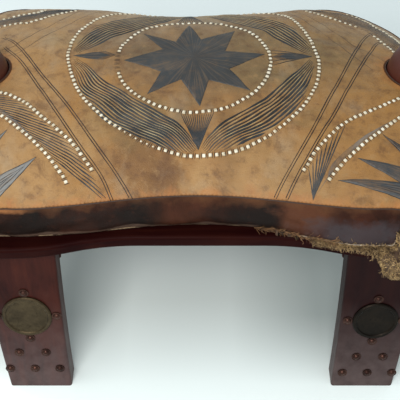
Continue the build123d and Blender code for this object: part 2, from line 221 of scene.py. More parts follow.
woodSettings = {
    "deep": (0.007, 0.0010, 0.0012),
    "middle": (0.034, 0.0065, 0.005),
    "warm": (0.066, 0.015, 0.008),
    "worn": (0.10, 0.045, 0.034),
    # greyish tone low on the legs: dust, and a painted reflection of the bright floor
    "dustSheen": (0.175, 0.132, 0.127),
    "dustSheenTop": 0.15,         # height above the floor where the dust and the painted floor reflection end
    "grainAlong": 5.0,       # pattern repeats per metre along the grain
    "grainAcross": 75.0,
    "roughness": 0.40,
}


def woodFinish(name, axis, lean=0.0, dark=0.0, sheen=0.08):
    # a negative dark makes the wood redder instead
    values = woodSettings
    made, tree, shader, coords = begin(name, **{"Specular IOR Level": sheen})
    scale = tuple(values["grainAlong"] if i == axis else values["grainAcross"] for i in range(3))
    finer = tuple(4 * value for value in scale)
    grain = noiseOf(tree, stretched(tree, coords, scale, (lean, 0, 0)), 1.0, 6, 0.6, 0.6)
    pores = noiseOf(tree, stretched(tree, coords, finer, (lean, 0, 0)), 1.0, 3, 0.5)
    patches = noiseOf(tree, coords, 7.0, 3)
    tone = ramp(tree, grain, [(0.32, values["deep"]), (0.52, values["middle"]), (0.72, values["warm"])])
    tone = stained(tree, tone, values["warm"], patches, 0.52, 0.74, 0.65)
    scuffs = noiseOf(tree, coords, 55.0, 5, 0.7)
    kept = ranged(tree, patches, 0.35, 0.6, 1.0, 0.25)
    wear = sums(tree, "MULTIPLY", ranged(tree, scuffs, 0.60, 0.74), kept)
    tone = mixed(tree, sums(tree, "MULTIPLY", wear, 0.5), tone, values["worn"])
    tone = mixed(tree, abs(dark), tone, values["deep" if dark > 0 else "warm"])
    height = addNode(tree, "SeparateXYZ", {"Vector": coords}).outputs["Z"]
    # painted reflection of the floor, with dust, greying the wood towards its foot
    dustySheen = ranged(tree, height, values["dustSheenTop"], 0.0, 0.0, 0.48)
    dustySheen = sums(tree, "MULTIPLY", dustySheen, ranged(tree, scuffs, 0.3, 0.6, 0.6, 1.0))
    tone = mixed(tree, dustySheen, tone, values["dustSheen"])
    rough = sums(tree, "ADD", ranged(tree, pores, 0.3, 0.7, -0.05, 0.08), values["roughness"])
    rough = sums(tree, "ADD", rough, sums(tree, "MULTIPLY", wear, 0.2))
    normal = bumped(tree, sums(tree, "ADD", sums(tree, "MULTIPLY", pores, 0.35), grain), 0.0005, 0.5)
    dents = noiseOf(tree, coords, 22.0, 2)
    plug(tree, shader, Base_Color=tone, Roughness=rough, Normal=bumped(tree, dents, 0.0015, 0.5, normal))
    return made


metalSettings = {
    "brass": {"low": (0.028, 0.019, 0.009), "high": (0.060, 0.042, 0.021), "bright": (0.10, 0.074, 0.041)},
    # a darker copy of the brass for the front right disc: painted shade
    "brassInShade": {"low": (0.004, 0.0025, 0.0012), "high": (0.010, 0.006, 0.003),
                  "bright": (0.022, 0.015, 0.009)},
    "bronze": {"low": (0.020, 0.007, 0.005), "high": (0.060, 0.026, 0.018), "bright": (0.13, 0.075, 0.055)},
    "steel": {"low": (0.10, 0.085, 0.07), "high": (0.28, 0.26, 0.24), "bright": (0.4, 0.38, 0.36)},
}


def metalFinish(name, metal, roughness):
    made, tree, shader, coords = begin(name, Metallic=0.85)
    tones = metalSettings[metal]
    cloud = noiseOf(tree, coords, 46.0, 6, 0.65)
    spots = noiseOf(tree, coords, 240.0, 4, 0.6)
    tone = ramp(tree, cloud, [(0.34, tones["low"]), (0.62, tones["high"]), (0.82, tones["bright"])])
    tone = stained(tree, tone, tones["low"], spots, 0.56, 0.68, 0.7)
    rough = sums(tree, "ADD", ranged(tree, spots, 0.35, 0.65, -0.06, 0.16), roughness)
    normal = bumped(tree, sums(tree, "ADD", cloud, sums(tree, "MULTIPLY", spots, 0.4)), 0.0008, 0.5)
    plug(tree, shader, Base_Color=tone, Roughness=rough, Normal=normal)
    return made


topLeather = {
    "golden": (0.350, 0.178, 0.050),
    "tan": (0.30, 0.163, 0.060),
    "amber": (0.285, 0.140, 0.040),
    "olive": (0.175, 0.122, 0.052),
    "grey": (0.37, 0.305, 0.21),
    # paler grey-tan laid over the back of the top: a painted sheen
    "dustySheen": (0.451, 0.366, 0.235),
    "brown": (0.095, 0.043, 0.019),
    "orange": (0.43, 0.165, 0.045),
    "pale": (0.41, 0.25, 0.105),
    "dusk": (0.085, 0.070, 0.048),
    "roughness": (0.39, 0.56),   # least and most
    # worn and stained areas: middle, half widths, tone and share
    "areas": (
        ((-0.005, 0.020), (0.115, 0.115), "dusk", 0.42),
        ((-0.105, 0.050), (0.050, 0.075), "dusk", 0.40),
        ((0.080, 0.030), (0.070, 0.095), "olive", 0.55),
        ((0.150, 0.060), (0.080, 0.130), "olive", 0.60),
        ((0.185, 0.165), (0.140, 0.080), "golden", 0.60),
        ((-0.200, 0.150), (0.120, 0.075), "golden", 0.45),
        ((-0.070, -0.155), (0.045, 0.035), "brown", 0.45),
        ((-0.085, -0.100), (0.060, 0.040), "olive", 0.55),
        ((0.090, -0.170), (0.080, 0.045), "pale", 0.35),
        ((0.190, -0.090), (0.060, 0.070), "golden", 0.50),
        ((-0.195, -0.150), (0.080, 0.070), "pale", 0.50),
        ((-0.210, 0.020), (0.060, 0.090), "pale", 0.45),
        ((0.004, -0.180), (0.012, 0.045), "pale", 0.45),
        ((-0.038, -0.172), (0.016, 0.045), "brown", 0.45),
        ((0.034, -0.168), (0.014, 0.040), "brown", 0.20),
    ),
}


def spotMask(tree, coords, middle, half, ragged):
    # one inside an oval, fading to nothing past its uneven edge
    place = tuple(-m / h for m, h in zip(middle, half))
    inputs = {"Vector": coords, "Location": (*place, 0), "Scale": (1 / half[0], 1 / half[1], 0)}
    moved = addNode(tree, "Mapping", inputs).outputs["Vector"]
    reach = addNode(tree, "VectorMath", {0: moved}, operation="LENGTH").outputs["Value"]
    return ranged(tree, sums(tree, "ADD", reach, ragged), 1.30, 0.55)


def topLeatherTones(tree, coords, nearSeam=True):
    values = topLeather
    front = addNode(tree, "SeparateXYZ", {"Vector": coords}).outputs["Y"]
    cloud = noiseOf(tree, coords, 11.0, 6, 0.62, 0.4)
    tone = ramp(tree, cloud, [(0.32, values["olive"]), (0.46, values["tan"]), (0.64, values["golden"])])
    tone = stained(tree, tone, values["amber"], front, -0.02, -0.15, 0.65)
    # painted sheen: the back is paler and greyer, the bright room reflected at grazing angles over the
    # leather's tone
    tone = stained(tree, tone, values["dustySheen"], front, 0.02, 0.16, 0.70)
    ragged = uneven(tree, coords, 24.0, 5, -0.45, 0.45, 0.65)
    for middle, half, title, share in values["areas"]:
        mask = sums(tree, "MULTIPLY", spotMask(tree, coords, middle, half, ragged), share)
        tone = mixed(tree, mask, tone, values[title])
    stains = noiseOf(tree, coords, 30.0, 5, 0.7, 0.8)
    tone = stained(tree, tone, values["brown"], stains, 0.53, 0.68, 0.55)
    washed = noiseOf(tree, stretched(tree, coords, (1.0, 0.5, 1.0)), 19.0, 4, 0.6)
    tone = stained(tree, tone, values["grey"], washed, 0.55, 0.72, 0.35)
    small = noiseOf(tree, coords, 75.0, 5, 0.7)
    tone = stained(tree, tone, values["brown"], small, 0.52, 0.68, 0.55)
    tone = stained(tree, tone, values["pale"], small, 0.46, 0.32, 0.45)
    if nearSeam:
        edge = addNode(tree, "Attribute", attribute_name="seamGap").outputs["Fac"]
        edgeNoise = sums(tree, "ADD", edge, ranged(tree, stains, 0.3, 0.7, -0.008, 0.012))
        tone = stained(tree, tone, values["orange"], edgeNoise, 0.014, 0.0, 0.6)
        tone = stained(tree, tone, values["brown"], edge, 0.003, 0.0, 0.7)
    fine = noiseOf(tree, coords, 150.0, 4, 0.6)
    return mixed(tree, ranged(tree, fine, 0.35, 0.7, 0.22, 0.0), tone, values["brown"])


def leatherRelief(tree, coords, strength=1.0):
    cells = addNode(tree, "TexVoronoi", {"Vector": coords, "Scale": 620.0}, feature="DISTANCE_TO_EDGE")
    grain = ranged(tree, cells.outputs["Distance"], 0.0, 0.18)
    pores = noiseOf(tree, coords, 900.0, 2)
    creases = noiseOf(tree, stretched(tree, coords, (1.0, 2.6, 1.0)), 38.0, 5, 0.65, 1.2)
    normal = bumped(tree, creases, 0.0022, 0.45 * strength)
    grained = sums(tree, "ADD", grain, sums(tree, "MULTIPLY", pores, 0.5))
    return bumped(tree, grained, 0.00022, 0.6 * strength, normal)


def topLeatherFinish():
    made, tree, shader, coords = begin("leatherTop", **{"IOR": 1.45, "Specular IOR Level": 0.32})
    smoothest, roughest = topLeather["roughness"]
    rough = uneven(tree, coords, 34.0, 4, smoothest, roughest)
    tone, normal = topLeatherTones(tree, coords), leatherRelief(tree, coords)
    plug(tree, shader, Base_Color=tone, Roughness=rough, Normal=normal)
    return made


sideLeather = {
    "black": (0.009, 0.006, 0.005),
    "brown": (0.022, 0.0075, 0.0045),
    "red": (0.048, 0.015, 0.008),
    "rust": (0.095, 0.034, 0.016),
    "tan": (0.105, 0.043, 0.018),
    "grey": (0.105, 0.066, 0.048),
    "blue": (0.048, 0.040, 0.044),
    "orange": (0.42, 0.17, 0.06),
    # areas along the front: middle, half width and height, tone and share
    "areas": (
        ((-0.145, 0.272), (0.085, 0.026), "black", 0.60),
        ((-0.215, 0.268), (0.055, 0.026), "black", 0.85),
        ((-0.072, 0.272), (0.022, 0.028), "black", 0.85),
        ((-0.026, 0.280), (0.036, 0.034), "rust", 0.15),
        ((0.084, 0.276), (0.022, 0.038), "black", 0.90),
        ((0.055, 0.267), (0.055, 0.024), "black", 0.65),
        ((0.130, 0.288), (0.036, 0.036), "rust", 0.80),
        ((0.172, 0.282), (0.016, 0.030), "brown", 0.60),
        ((0.190, 0.262), (0.060, 0.020), "blue", 0.80),
        ((-0.225, 0.300), (0.020, 0.008), "orange", 0.70),
    ),
}


def sideLeatherFinish():
    values = sideLeather
    floor = cushion["floor"]
    made, tree, shader, coords = begin("leatherSide", **{"Specular IOR Level": 0.07})
    place = addNode(tree, "SeparateXYZ", {"Vector": coords}).outputs
    streaks = noiseOf(tree, stretched(tree, coords, (1.0, 1.0, 0.55)), 17.0, 5, 0.6, 0.6)
    tone = ramp(tree, streaks, [(0.38, values["black"]), (0.48, values["brown"]), (0.64, values["red"])])
    upright = addNode(tree, "CombineXYZ", {"X": place["X"], "Y": place["Z"]}).outputs["Vector"]
    ragged = uneven(tree, coords, 45.0, 5, -0.4, 0.4, 0.65)
    front = ranged(tree, place["Y"], -0.14, -0.17)
    for middle, half, title, share in values["areas"]:
        mask = sums(tree, "MULTIPLY", spotMask(tree, upright, middle, half, ragged), share)
        tone = mixed(tree, sums(tree, "MULTIPLY", mask, front), tone, values[title])
    broken = sums(tree, "ADD", place["Z"], uneven(tree, coords, 40.0, 4, -0.010, 0.010))
    tone = stained(tree, tone, values["tan"], broken, floor + 0.040, floor + 0.058, 0.75)
    waved = sums(tree, "ADD", place["Z"], uneven(tree, coords, 16.0, 2, -0.004, 0.004))
    under = ranged(tree, waved, floor + 0.0085, floor + 0.0055, 0.0, 0.8)
    under = sums(tree, "MULTIPLY", under, ranged(tree, place["X"], 0.078, 0.066))
    tone = mixed(tree, under, tone, values["grey"])
    tone = stained(tree, tone, values["red"], noiseOf(tree, coords, 120.0, 5, 0.7), 0.58, 0.72, 0.5)
    rough = uneven(tree, coords, 45.0, 3, 0.40, 0.60)
    plug(tree, shader, Base_Color=tone, Roughness=rough, Normal=leatherRelief(tree, coords, 0.9))
    return made


def clothFinish(name, first, second, scale):
    made, tree, shader, coords = begin(name, Roughness=0.9)
    inputs = {"Vector": coords, "Scale": scale, "Distortion": 1.5}
    waves = [addNode(tree, "TexWave", inputs, bands_direction=axis).outputs["Fac"] for axis in ("X", "Y")]
    both = sums(tree, "ADD", *waves)
    tone = mixed(tree, ranged(tree, both, 0.2, 1.8), first, second)
    tone = stained(tree, tone, second, noiseOf(tree, coords, 30.0, 5), 0.45, 0.7, 0.5)
    plug(tree, shader, Base_Color=tone, Normal=bumped(tree, both, 0.0006, 0.6))
    return made


def strawFinish(name, pale, dark, rusty=(0.34, 0.175, 0.075)):
    # strand tones above one belong to the rust-stained fibres
    made, tree, shader, coords = begin(name, Roughness=0.62)
    cloud = noiseOf(tree, coords, 90.0, 4, 0.6)
    strand = addNode(tree, "Attribute", attribute_name="strandTone").outputs["Fac"]
    light = addNode(tree, "Math", {0: strand}, operation="FRACT").outputs[0]
    share = sums(tree, "ADD", sums(tree, "MULTIPLY", cloud, 0.5), sums(tree, "MULTIPLY", light, 0.6))
    tone = mixed(tree, ranged(tree, strand, 0.99, 1.01), pale, rusty)
    tone = mixed(tree, ranged(tree, share, 0.28, 0.78), dark, tone)
    plug(tree, shader, Base_Color=tone, Normal=bumped(tree, noiseOf(tree, coords, 500.0, 2), 0.0003, 0.5))
    return made


# cushion outline, crown and shell, in metres
baseLow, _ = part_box("cushion_base")
cushion = {
    "halfLength": 0.308,
    "halfDepth": 0.1915,      # at the waist
    "endFlare": 0.020,
    "shoulder": 0.215,        # where the sides stop widening
    "baseInset": 0.007,
    "floor": baseLow.z,
    "boxing": 0.056,
    "bulge": 0.004,
    "crownRise": 0.057,
    "crownFall": 0.020,       # the crown is lower at the two ends
    "endRoll": 0.009,
    "endRollRun": 0.022,
    "cornerRadius": 0.060,
    "wornRadius": 0.110,      # back right, where it has slumped
    "cornerMargin": 0.0025,
    "frontSag": (0.002, 0.0035),   # along the front seam and at its corners
    "wornSag": 0.032,
    # where each sag starts and over what run it grows, along and across
    "frontSagAlong": (0.10, 0.15),
    "frontSagAcross": (0.10, 0.10),
    "wornSagAlong": (0.185, 0.145),
    "wornSagAcross": (-0.02, 0.20),
    "notch": 0.0372,          # half width of the opening round each pommel
    "notchLip": 0.013,
    "axisFoot": 0.256,        # where a pommel's middle line meets the seat
    "axisLean": 0.2857,       # sideways run of that line for its height
    "counts": (58, 16, 18, 5, 6, 12),   # side, corner, end, lip, notch wall, notch round
    "rows": 12,
    "spacing": 0.0052,
    "baseSpacing": 0.014,
    "slack": 0.0012,          # it starts this much smaller, before it is stuffed
    "leather": 0.0026,
    "cloth": 0.0016,
    "thread": 0.0008,
    "threadOut": 0.0002,      # how far the seam's thread stands out and up
    "fillingInset": 0.0042,
    "fillingFloor": 0.0022,
}
# the cap is how far a point of the leather may move
stuffing = {"pressure": 3.5, "frames": 20, "cap": 0.0055, "mass": 0.4, "tension": 20, "bending": 2.0}
meshing = {"rowShare": 0.866, "clearShare": 0.62}    # of the spacing: between rows, and off the seam


def smooth(value):
    value = min(1.0, max(0.0, value))
    return value * value * (3 - 2 * value)


def seamReach(x):
    run = min(abs(x) / cushion["shoulder"], 1)
    return cushion["halfDepth"] + cushion["endFlare"] * (1 - math.cos(math.pi * run)) / 2


def grown(value, span):
    start, run = span
    return smooth((value - start) / run)


def sagAt(x, y):
    # the front edge sinks a little, the worn corner a good deal
    along, corner = cushion["frontSag"]
    front = along + (corner - along) * grown(abs(x), cushion["frontSagAlong"])
    worn = grown(x, cushion["wornSagAlong"]) * grown(y, cushion["wornSagAcross"])
    return front * grown(-y, cushion["frontSagAcross"]) + cushion["wornSag"] * worn


def crownAt(x, y):
    run = cushion["endRollRun"]
    roll = max(0.0, abs(x) - (cushion["halfLength"] - run)) / run
    rise = cushion["crownRise"] - cushion["crownFall"] * (x / cushion["halfLength"]) ** 2
    rise -= cushion["endRoll"] * roll ** 2
    reach = seamReach(x)
    radius = (reach ** 2 + rise ** 2) / (2 * rise)
    top = cushion["floor"] + cushion["boxing"] + rise
    return top - radius + math.sqrt(max(radius ** 2 - y ** 2, 0)) - sagAt(x, y)


def notchMiddle(z):
    return cushion["axisFoot"] + cushion["axisLean"] * (z - cushion["floor"])


def quarterOutline(height, corner):
    # x, y from the front middle round to the middle of the right notch
    length, notch, lip = (cushion[k] for k in ("halfLength", "notch", "notchLip"))
    sideCount, cornerCount, endCount, lipCount, wallCount, roundCount = cushion["counts"]
    cornerX, cornerY = length - corner, seamReach(length) + cushion["cornerMargin"] - corner

    def stepAt(x):
        # how far the corner's arc stands off the side there
        return abs(cornerY + math.sqrt(max(corner ** 2 - (x - cornerX) ** 2, 0)) - seamReach(x))

    join = min(np.linspace(cornerX, length, 400), key=stepAt)
    angle = math.acos((join - cornerX) / corner)
    points = [(x, -seamReach(x)) for x in np.linspace(0, join, sideCount, endpoint=False)]
    for a in np.linspace(angle, 0, cornerCount, endpoint=False):
        points.append((cornerX + corner * math.cos(a), -cornerY - corner * math.sin(a)))
    for y in np.linspace(cornerY, notch + lip, endCount, endpoint=False):
        points.append((length, -y))
    for a in np.linspace(0, math.pi / 2, lipCount, endpoint=False):
        points.append((length - lip + lip * math.cos(a), -notch - lip + lip * math.sin(a)))
    wallEnd = notchMiddle(height(length - cushion["cornerRadius"], -notch))
    for x in np.linspace(length - lip, wallEnd, wallCount, endpoint=False):
        points.append((x, -notch))
    for a in np.linspace(0, math.pi / 2, roundCount + 1):
        # the notch follows the leaning pommel, so its place is settled with its height
        x, y = wallEnd, -notch * math.cos(a) if a < math.pi / 2 else 0.0
        for _ in range(4):
            x = notchMiddle(height(x, y)) - notch * math.hypot(1, cushion["axisLean"]) * math.sin(a)
        points.append((x, y))
    return points[:-1], points[-1]


def wholeOutline(height):
    square, notchEnd = quarterOutline(height, cushion["cornerRadius"])
    worn, _ = quarterOutline(height, cushion["wornRadius"])
    right = square + [notchEnd] + [(x, -y) for x, y in worn[:0:-1]]
    left = [(-x, -y) for x, y in square[1:]] + [(-notchEnd[0], 0.0)] + [(-x, y) for x, y in square[:0:-1]]
    return np.array(right + [(0.0, -square[0][1])] + left)


def outwards(loop):
    ahead = np.roll(loop, -1, 0) - np.roll(loop, 1, 0)
    normal = np.stack([ahead[:, 1], -ahead[:, 0]], 1)
    return normal / np.linalg.norm(normal, axis=1)[:, None]


def insideFlags(points, loop):
    x, y = points[:, 0][:, None], points[:, 1][:, None]
    x0, y0 = loop[:, 0][None], loop[:, 1][None]
    x1, y1 = np.roll(loop[:, 0], -1)[None], np.roll(loop[:, 1], -1)[None]
    crossing = (y0 > y) != (y1 > y)
    with np.errstate(divide="ignore", invalid="ignore"):
        where = (x1 - x0) * (y - y0) / (y1 - y0) + x0
    return (np.sum(crossing & (x < where), 1) % 2) == 1


def panel(loop, spacing):
    # triangles over the inside of a loop; the loop's own points come first
    xs = np.arange(loop[:, 0].min(), loop[:, 0].max(), spacing)
    ys = np.arange(loop[:, 1].min(), loop[:, 1].max(), spacing * meshing["rowShare"])
    grid = np.array([(x + (row % 2) * spacing / 2, y) for row, y in enumerate(ys) for x in xs])
    grid = grid[insideFlags(grid, loop)]
    gap = np.array([np.min(np.hypot(*(loop - p).T)) for p in grid])
    grid = grid[gap > spacing * meshing["clearShare"]]
    points = [Vector(p) for p in np.vstack([loop, grid])]
    edges = [(i, (i + 1) % len(loop)) for i in range(len(loop))]
    made, _, faces, *_ = delaunay_2d_cdt(points, edges, [], 1, 1e-7)
    return np.array([tuple(p) for p in made]), [tuple(f) for f in faces]


def newObject(name, points, faces, finish=None):
    mesh = bpy.data.meshes.new(name)
    mesh.from_pydata([tuple(map(float, p)) for p in points], [], [tuple(map(int, f)) for f in faces])
    mesh.update()
    mesh.polygons.foreach_set("use_smooth", [True] * len(mesh.polygons))
    made = bpy.data.objects.new(name, mesh)
    bpy.context.scene.collection.objects.link(made)
    if finish:
        mesh.materials.append(finish)
    return made


def pickOnly(piece):
    bpy.ops.object.select_all(action="DESELECT")
    piece.select_set(True)
    bpy.context.view_layer.objects.active = piece


def meshPoints(piece):
    points = np.empty(len(piece.data.vertices) * 3)
    piece.data.vertices.foreach_get("co", points)
    return points.reshape(-1, 3)


def setPoints(piece, points):
    piece.data.vertices.foreach_set("co", points.ravel())
    piece.data.update()


def surfaceTree(piece):
    points = [v.co.copy() for v in piece.data.vertices]
    return BVHTree.FromPolygons(points, [tuple(f.vertices) for f in piece.data.polygons])


def makeShell():
    # closed: top panel, boxing and base share their seams
    topLoop = wholeOutline(crownAt)
    baseLoop = wholeOutline(lambda x, y: cushion["floor"])
    normal = outwards(topLoop)
    side = np.abs(normal[:, 1]) * (np.abs(topLoop[:, 1]) > cushion["notch"] * 1.3)
    topLoop = topLoop - normal * cushion["slack"] * side[:, None]
    baseLoop = baseLoop - normal * (cushion["baseInset"] + cushion["slack"]) * side[:, None]
    count, rows = len(topLoop), cushion["rows"]
    plan, topFaces = panel(topLoop, cushion["spacing"])
    lowPlan, baseFaces = panel(baseLoop, cushion["baseSpacing"])
    top = np.array([(x, y, crownAt(x, y)) for x, y in plan])
    top[:, 2] -= cushion["slack"]
    seam = top[:count]
    low = np.array([(x, y, cushion["floor"]) for x, y in lowPlan])
    flags = [0] * len(topFaces)
    points = [top]
    faces = [tuple(f) for f in topFaces]
    start = len(top)
    for row in range(1, rows):
        share = row / rows
        ring = seam + (low[:count] - seam) * share
        ring[:, :2] += normal * (cushion["bulge"] * side * math.sin(math.pi * share))[:, None]
        points.append(ring)
    points.append(low)
    lowStart = start + (rows - 1) * count
    for row in range(rows):
        upper = 0 if row == 0 else start + (row - 1) * count
        lower = lowStart if row == rows - 1 else start + row * count
        for i in range(count):
            j = (i + 1) % count
            faces.append((upper + j, upper + i, lower + i, lower + j))
            flags.append(1)
    faces += [tuple(lowStart + i for i in reversed(f)) for f in baseFaces]
    flags += [2] * len(baseFaces)
    shell = newObject("shell", np.vstack(points), faces)
    region = shell.data.attributes.new("region", "INT", "FACE")
    region.data.foreach_set("value", flags)
    return shell, count, lowStart


def stuffShell(shell, lowStart):
    rest = meshPoints(shell)
    pin = shell.vertex_groups.new(name="pin")
    pin.add(list(range(lowStart, len(rest))), 1.0, "REPLACE")
    # the notches keep their shape too
    near = [i for i, (x, y, _) in enumerate(rest) if abs(x) > 0.2 and abs(y) < cushion["notch"] + 0.004]
    pin.add(near, 1.0, "REPLACE")
    pickOnly(shell)
    cloth = shell.modifiers.new("stuffing", "CLOTH")
    cloth.settings.vertex_group_mass = "pin"
    cloth.settings.use_pressure = True
    cloth.settings.uniform_pressure_force = stuffing["pressure"]
    cloth.settings.mass = stuffing["mass"]
    cloth.settings.tension_stiffness = stuffing["tension"]
    cloth.settings.compression_stiffness = stuffing["tension"]
    cloth.settings.shear_stiffness = stuffing["tension"] / 2
    cloth.settings.bending_stiffness = stuffing["bending"]
    cloth.settings.effector_weights.gravity = 0
    cloth.collision_settings.use_collision = False
    cloth.collision_settings.use_self_collision = False
    scene = bpy.context.scene
    scene.frame_start, scene.frame_end = 1, stuffing["frames"]
    cloth.point_cache.frame_start, cloth.point_cache.frame_end = 1, stuffing["frames"]
    for number in range(1, stuffing["frames"] + 1):
        scene.frame_set(number)
    bpy.ops.object.modifier_apply(modifier="stuffing")
    moved = meshPoints(shell) - rest
    reach = np.linalg.norm(moved, axis=1)
    share = stuffing["cap"] * np.tanh(reach / stuffing["cap"]) / np.maximum(reach, 1e-9)
    setPoints(shell, rest + moved * share[:, None])
    scene.frame_set(1)
    print("cushion stuffed, moved", round(1000 * float(reach.mean()), 1), "mm on average")


def applyModifier(piece, kind, **settings):
    pickOnly(piece)
    made = piece.modifiers.new("finish", kind)
    for title, value in settings.items():
        setattr(made, title, value)
    bpy.ops.object.modifier_apply(modifier="finish")


def cutOut(shell, name, number, finish):
    points = meshPoints(shell)
    region = np.empty(len(shell.data.polygons), int)
    shell.data.attributes["region"].data.foreach_get("value", region)
    faces = [tuple(face.vertices) for face in shell.data.polygons if region[face.index] == number]
    used = sorted({i for face in faces for i in face})
    place = {old: new for new, old in enumerate(used)}
    return newObject(name, points[used], [[place[i] for i in face] for face in faces], finish)


tear = {
    "from": 0.080, "full": 0.190, "to": 0.300,   # along the front, to the right of the middle
    "push": 0.0165,          # how far the loose edge stands out
    "lift": 0.0035,
    "ragged": 0.0012,
    "ripAt": 0.2445,         # upright rip in the boxing
    "ripWidth": 0.019,
    "ripTop": 0.86,          # share of the boxing's height
    "ripSpread": 0.03,
}


def tearBoxing(shell, count, lowStart, topCount):
    # pulls the loose lower edge out and opens the upright rip
    points = meshPoints(shell)
    loop = points[:count, :2].copy()
    normal = outwards(loop)
    rows = cushion["rows"]
    front = [i for i in range(count // 4) if loop[i, 0] > 0.0]
    column = min(front, key=lambda i: abs(loop[i, 0] - tear["ripAt"]))
    newLow = []
    for i in range(count):
        x, y = loop[i]
        share = 0.0
        if y < 0 and x > tear["from"]:
            share = smooth((x - tear["from"]) / (tear["full"] - tear["from"]))
            share *= 1 - smooth((x - tear["ripAt"]) / (tear["to"] - tear["ripAt"])) * 0.85
        ragged = noise.noise(Vector((x * 95, y * 95, 3.1))) + 0.5 * noise.noise(Vector((x * 310, y * 310, 7)))
        for row in range(1, rows + 1):
            height = row / rows
            weight = share * height ** 2
            index = topCount + (row - 1) * count + i if row < rows else lowStart + i
            point = points[index].copy()
            point[:2] += normal[i] * tear["push"] * weight
            point[2] += (tear["lift"] + tear["ragged"] * ragged) * weight
            if y < 0 and x > 0.15:
                open01 = max(0.0, (height - 1 + tear["ripTop"]) / tear["ripTop"])
                opening = tear["ripWidth"] / 2 * open01 ** 1.3
                away = i - column - 0.5
                apart = abs(x - tear["ripAt"])
                point[0] += math.copysign(opening * math.exp(-(apart / tear["ripSpread"]) ** 2), away)
            if row < rows:
                points[index] = point
            else:
                newLow.append(point)
    return points, np.array(newLow), column


def makeBoxing(shell, count, lowStart, topCount, finish):
    points, newLow, column = tearBoxing(shell, count, lowStart, topCount)
    rows = cushion["rows"]
    starts = [topCount + (row - 1) * count for row in range(1, rows)]
    rings = [points[:count]] + [points[start:start + count] for start in starts] + [newLow]
    faces = []
    for row in range(rows):
        for i in range(count):
            j = (i + 1) % count
            upper, lower = row * count, (row + 1) * count
            if i != column or row < rows * (1 - tear["ripTop"]):
                faces.append((upper + j, upper + i, lower + i, lower + j))
    return newObject("cushionBoxing", np.vstack(rings), faces, finish)


relief = {
    "wide": 0.0016,
    "fine": 0.0005,
    "wideScale": 16,         # lumps per metre
    "fineScale": (55, 28, 55),
    "seamRun": 0.02,         # it grows from nothing over this way from the seam
}


def wrinkle(piece, seamPoints, strength=1.0):
    # uneven stuffing and creases, none at the seam
    points = meshPoints(piece)
    mesh = piece.data
    normals = np.empty(len(mesh.vertices) * 3)
    mesh.vertices.foreach_get("normal", normals)
    normals = normals.reshape(-1, 3)
    gap = np.array([np.min(np.sum((seamPoints - p) ** 2, 1)) for p in points]) ** 0.5
    for i, point in enumerate(points):
        wide = noise.fractal(Vector(point) * relief["wideScale"], 0.9, 2.1, 3)
        fine = noise.fractal(Vector(point * relief["fineScale"]), 0.8, 2.2, 3)
        amount = relief["wide"] * wide + relief["fine"] * fine
        points[i] = point + normals[i] * strength * smooth(gap[i] / relief["seamRun"]) * amount
    setPoints(piece, points)
    stored = mesh.attributes.new("seamGap", "FLOAT", "POINT")
    stored.data.foreach_set("value", gap.astype(np.float32))


def tubeAlong(name, path, radius, sides, finish, closed=True):
    path = np.asarray(path, float)
    ahead = np.roll(path, -1, 0) - np.roll(path, 1, 0) if closed else np.gradient(path, axis=0)
    ahead /= np.linalg.norm(ahead, axis=1)[:, None]
    side = np.cross(ahead, (0, 0, 1.0))
    side /= np.linalg.norm(side, axis=1)[:, None]
    up = np.cross(side, ahead)
    points, faces = [], []
    for k in range(sides):
        a = 2 * math.pi * k / sides
        points.append(path + radius * (math.cos(a) * side + math.sin(a) * up))
    points = np.stack(points, 1).reshape(-1, 3)
    count = len(path)
    for i in range(count if closed else count - 1):
        j = (i + 1) % count
        for k in range(sides):
            m = (k + 1) % sides
            faces.append((i * sides + k, i * sides + m, j * sides + m, j * sides + k))
    if not closed:
        faces += [tuple(range(sides))[::-1], tuple((count - 1) * sides + k for k in range(sides))]
    return newObject(name, points, faces, finish)


def ordered(piece, near):
    # the boundary loop that passes closest to a point, in order
    work = bmesh.new()
    work.from_mesh(piece.data)
    edges = {e for e in work.edges if e.is_boundary}
    loops = []
    while edges:
        edge = edges.pop()
        run = [edge.verts[0], edge.verts[1]]
        while True:
            ahead = next((e for e in run[-1].link_edges if e in edges), None)
            if ahead is None:
                break
            edges.discard(ahead)
            run.append(ahead.other_vert(run[-1]))
        loops.append(np.array([tuple(v.co) for v in run[:-1]]))
    work.free()
    return min(loops, key=lambda run: np.min(np.linalg.norm(run - near, axis=1)))


def seamThread(top, seam):
    # dark thread laid along the seam between top and boxing
    run = ordered(top, np.array((0, -cushion["halfDepth"], seam[0][2])))
    out = outwards(run[:, :2])
    if np.sum(out * run[:, :2]) < 0:
        out = -out
    path = run + np.c_[out, np.zeros(len(run))] * cushion["threadOut"] + (0, 0, cushion["threadOut"])
    dark = begin("threadDark", **{"Base Color": (0.035, 0.014, 0.007, 1), "Roughness": 0.7})[0]
    thread = tubeAlong("seamThread", path, cushion["thread"], 8, dark)
    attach(thread, "cushion")


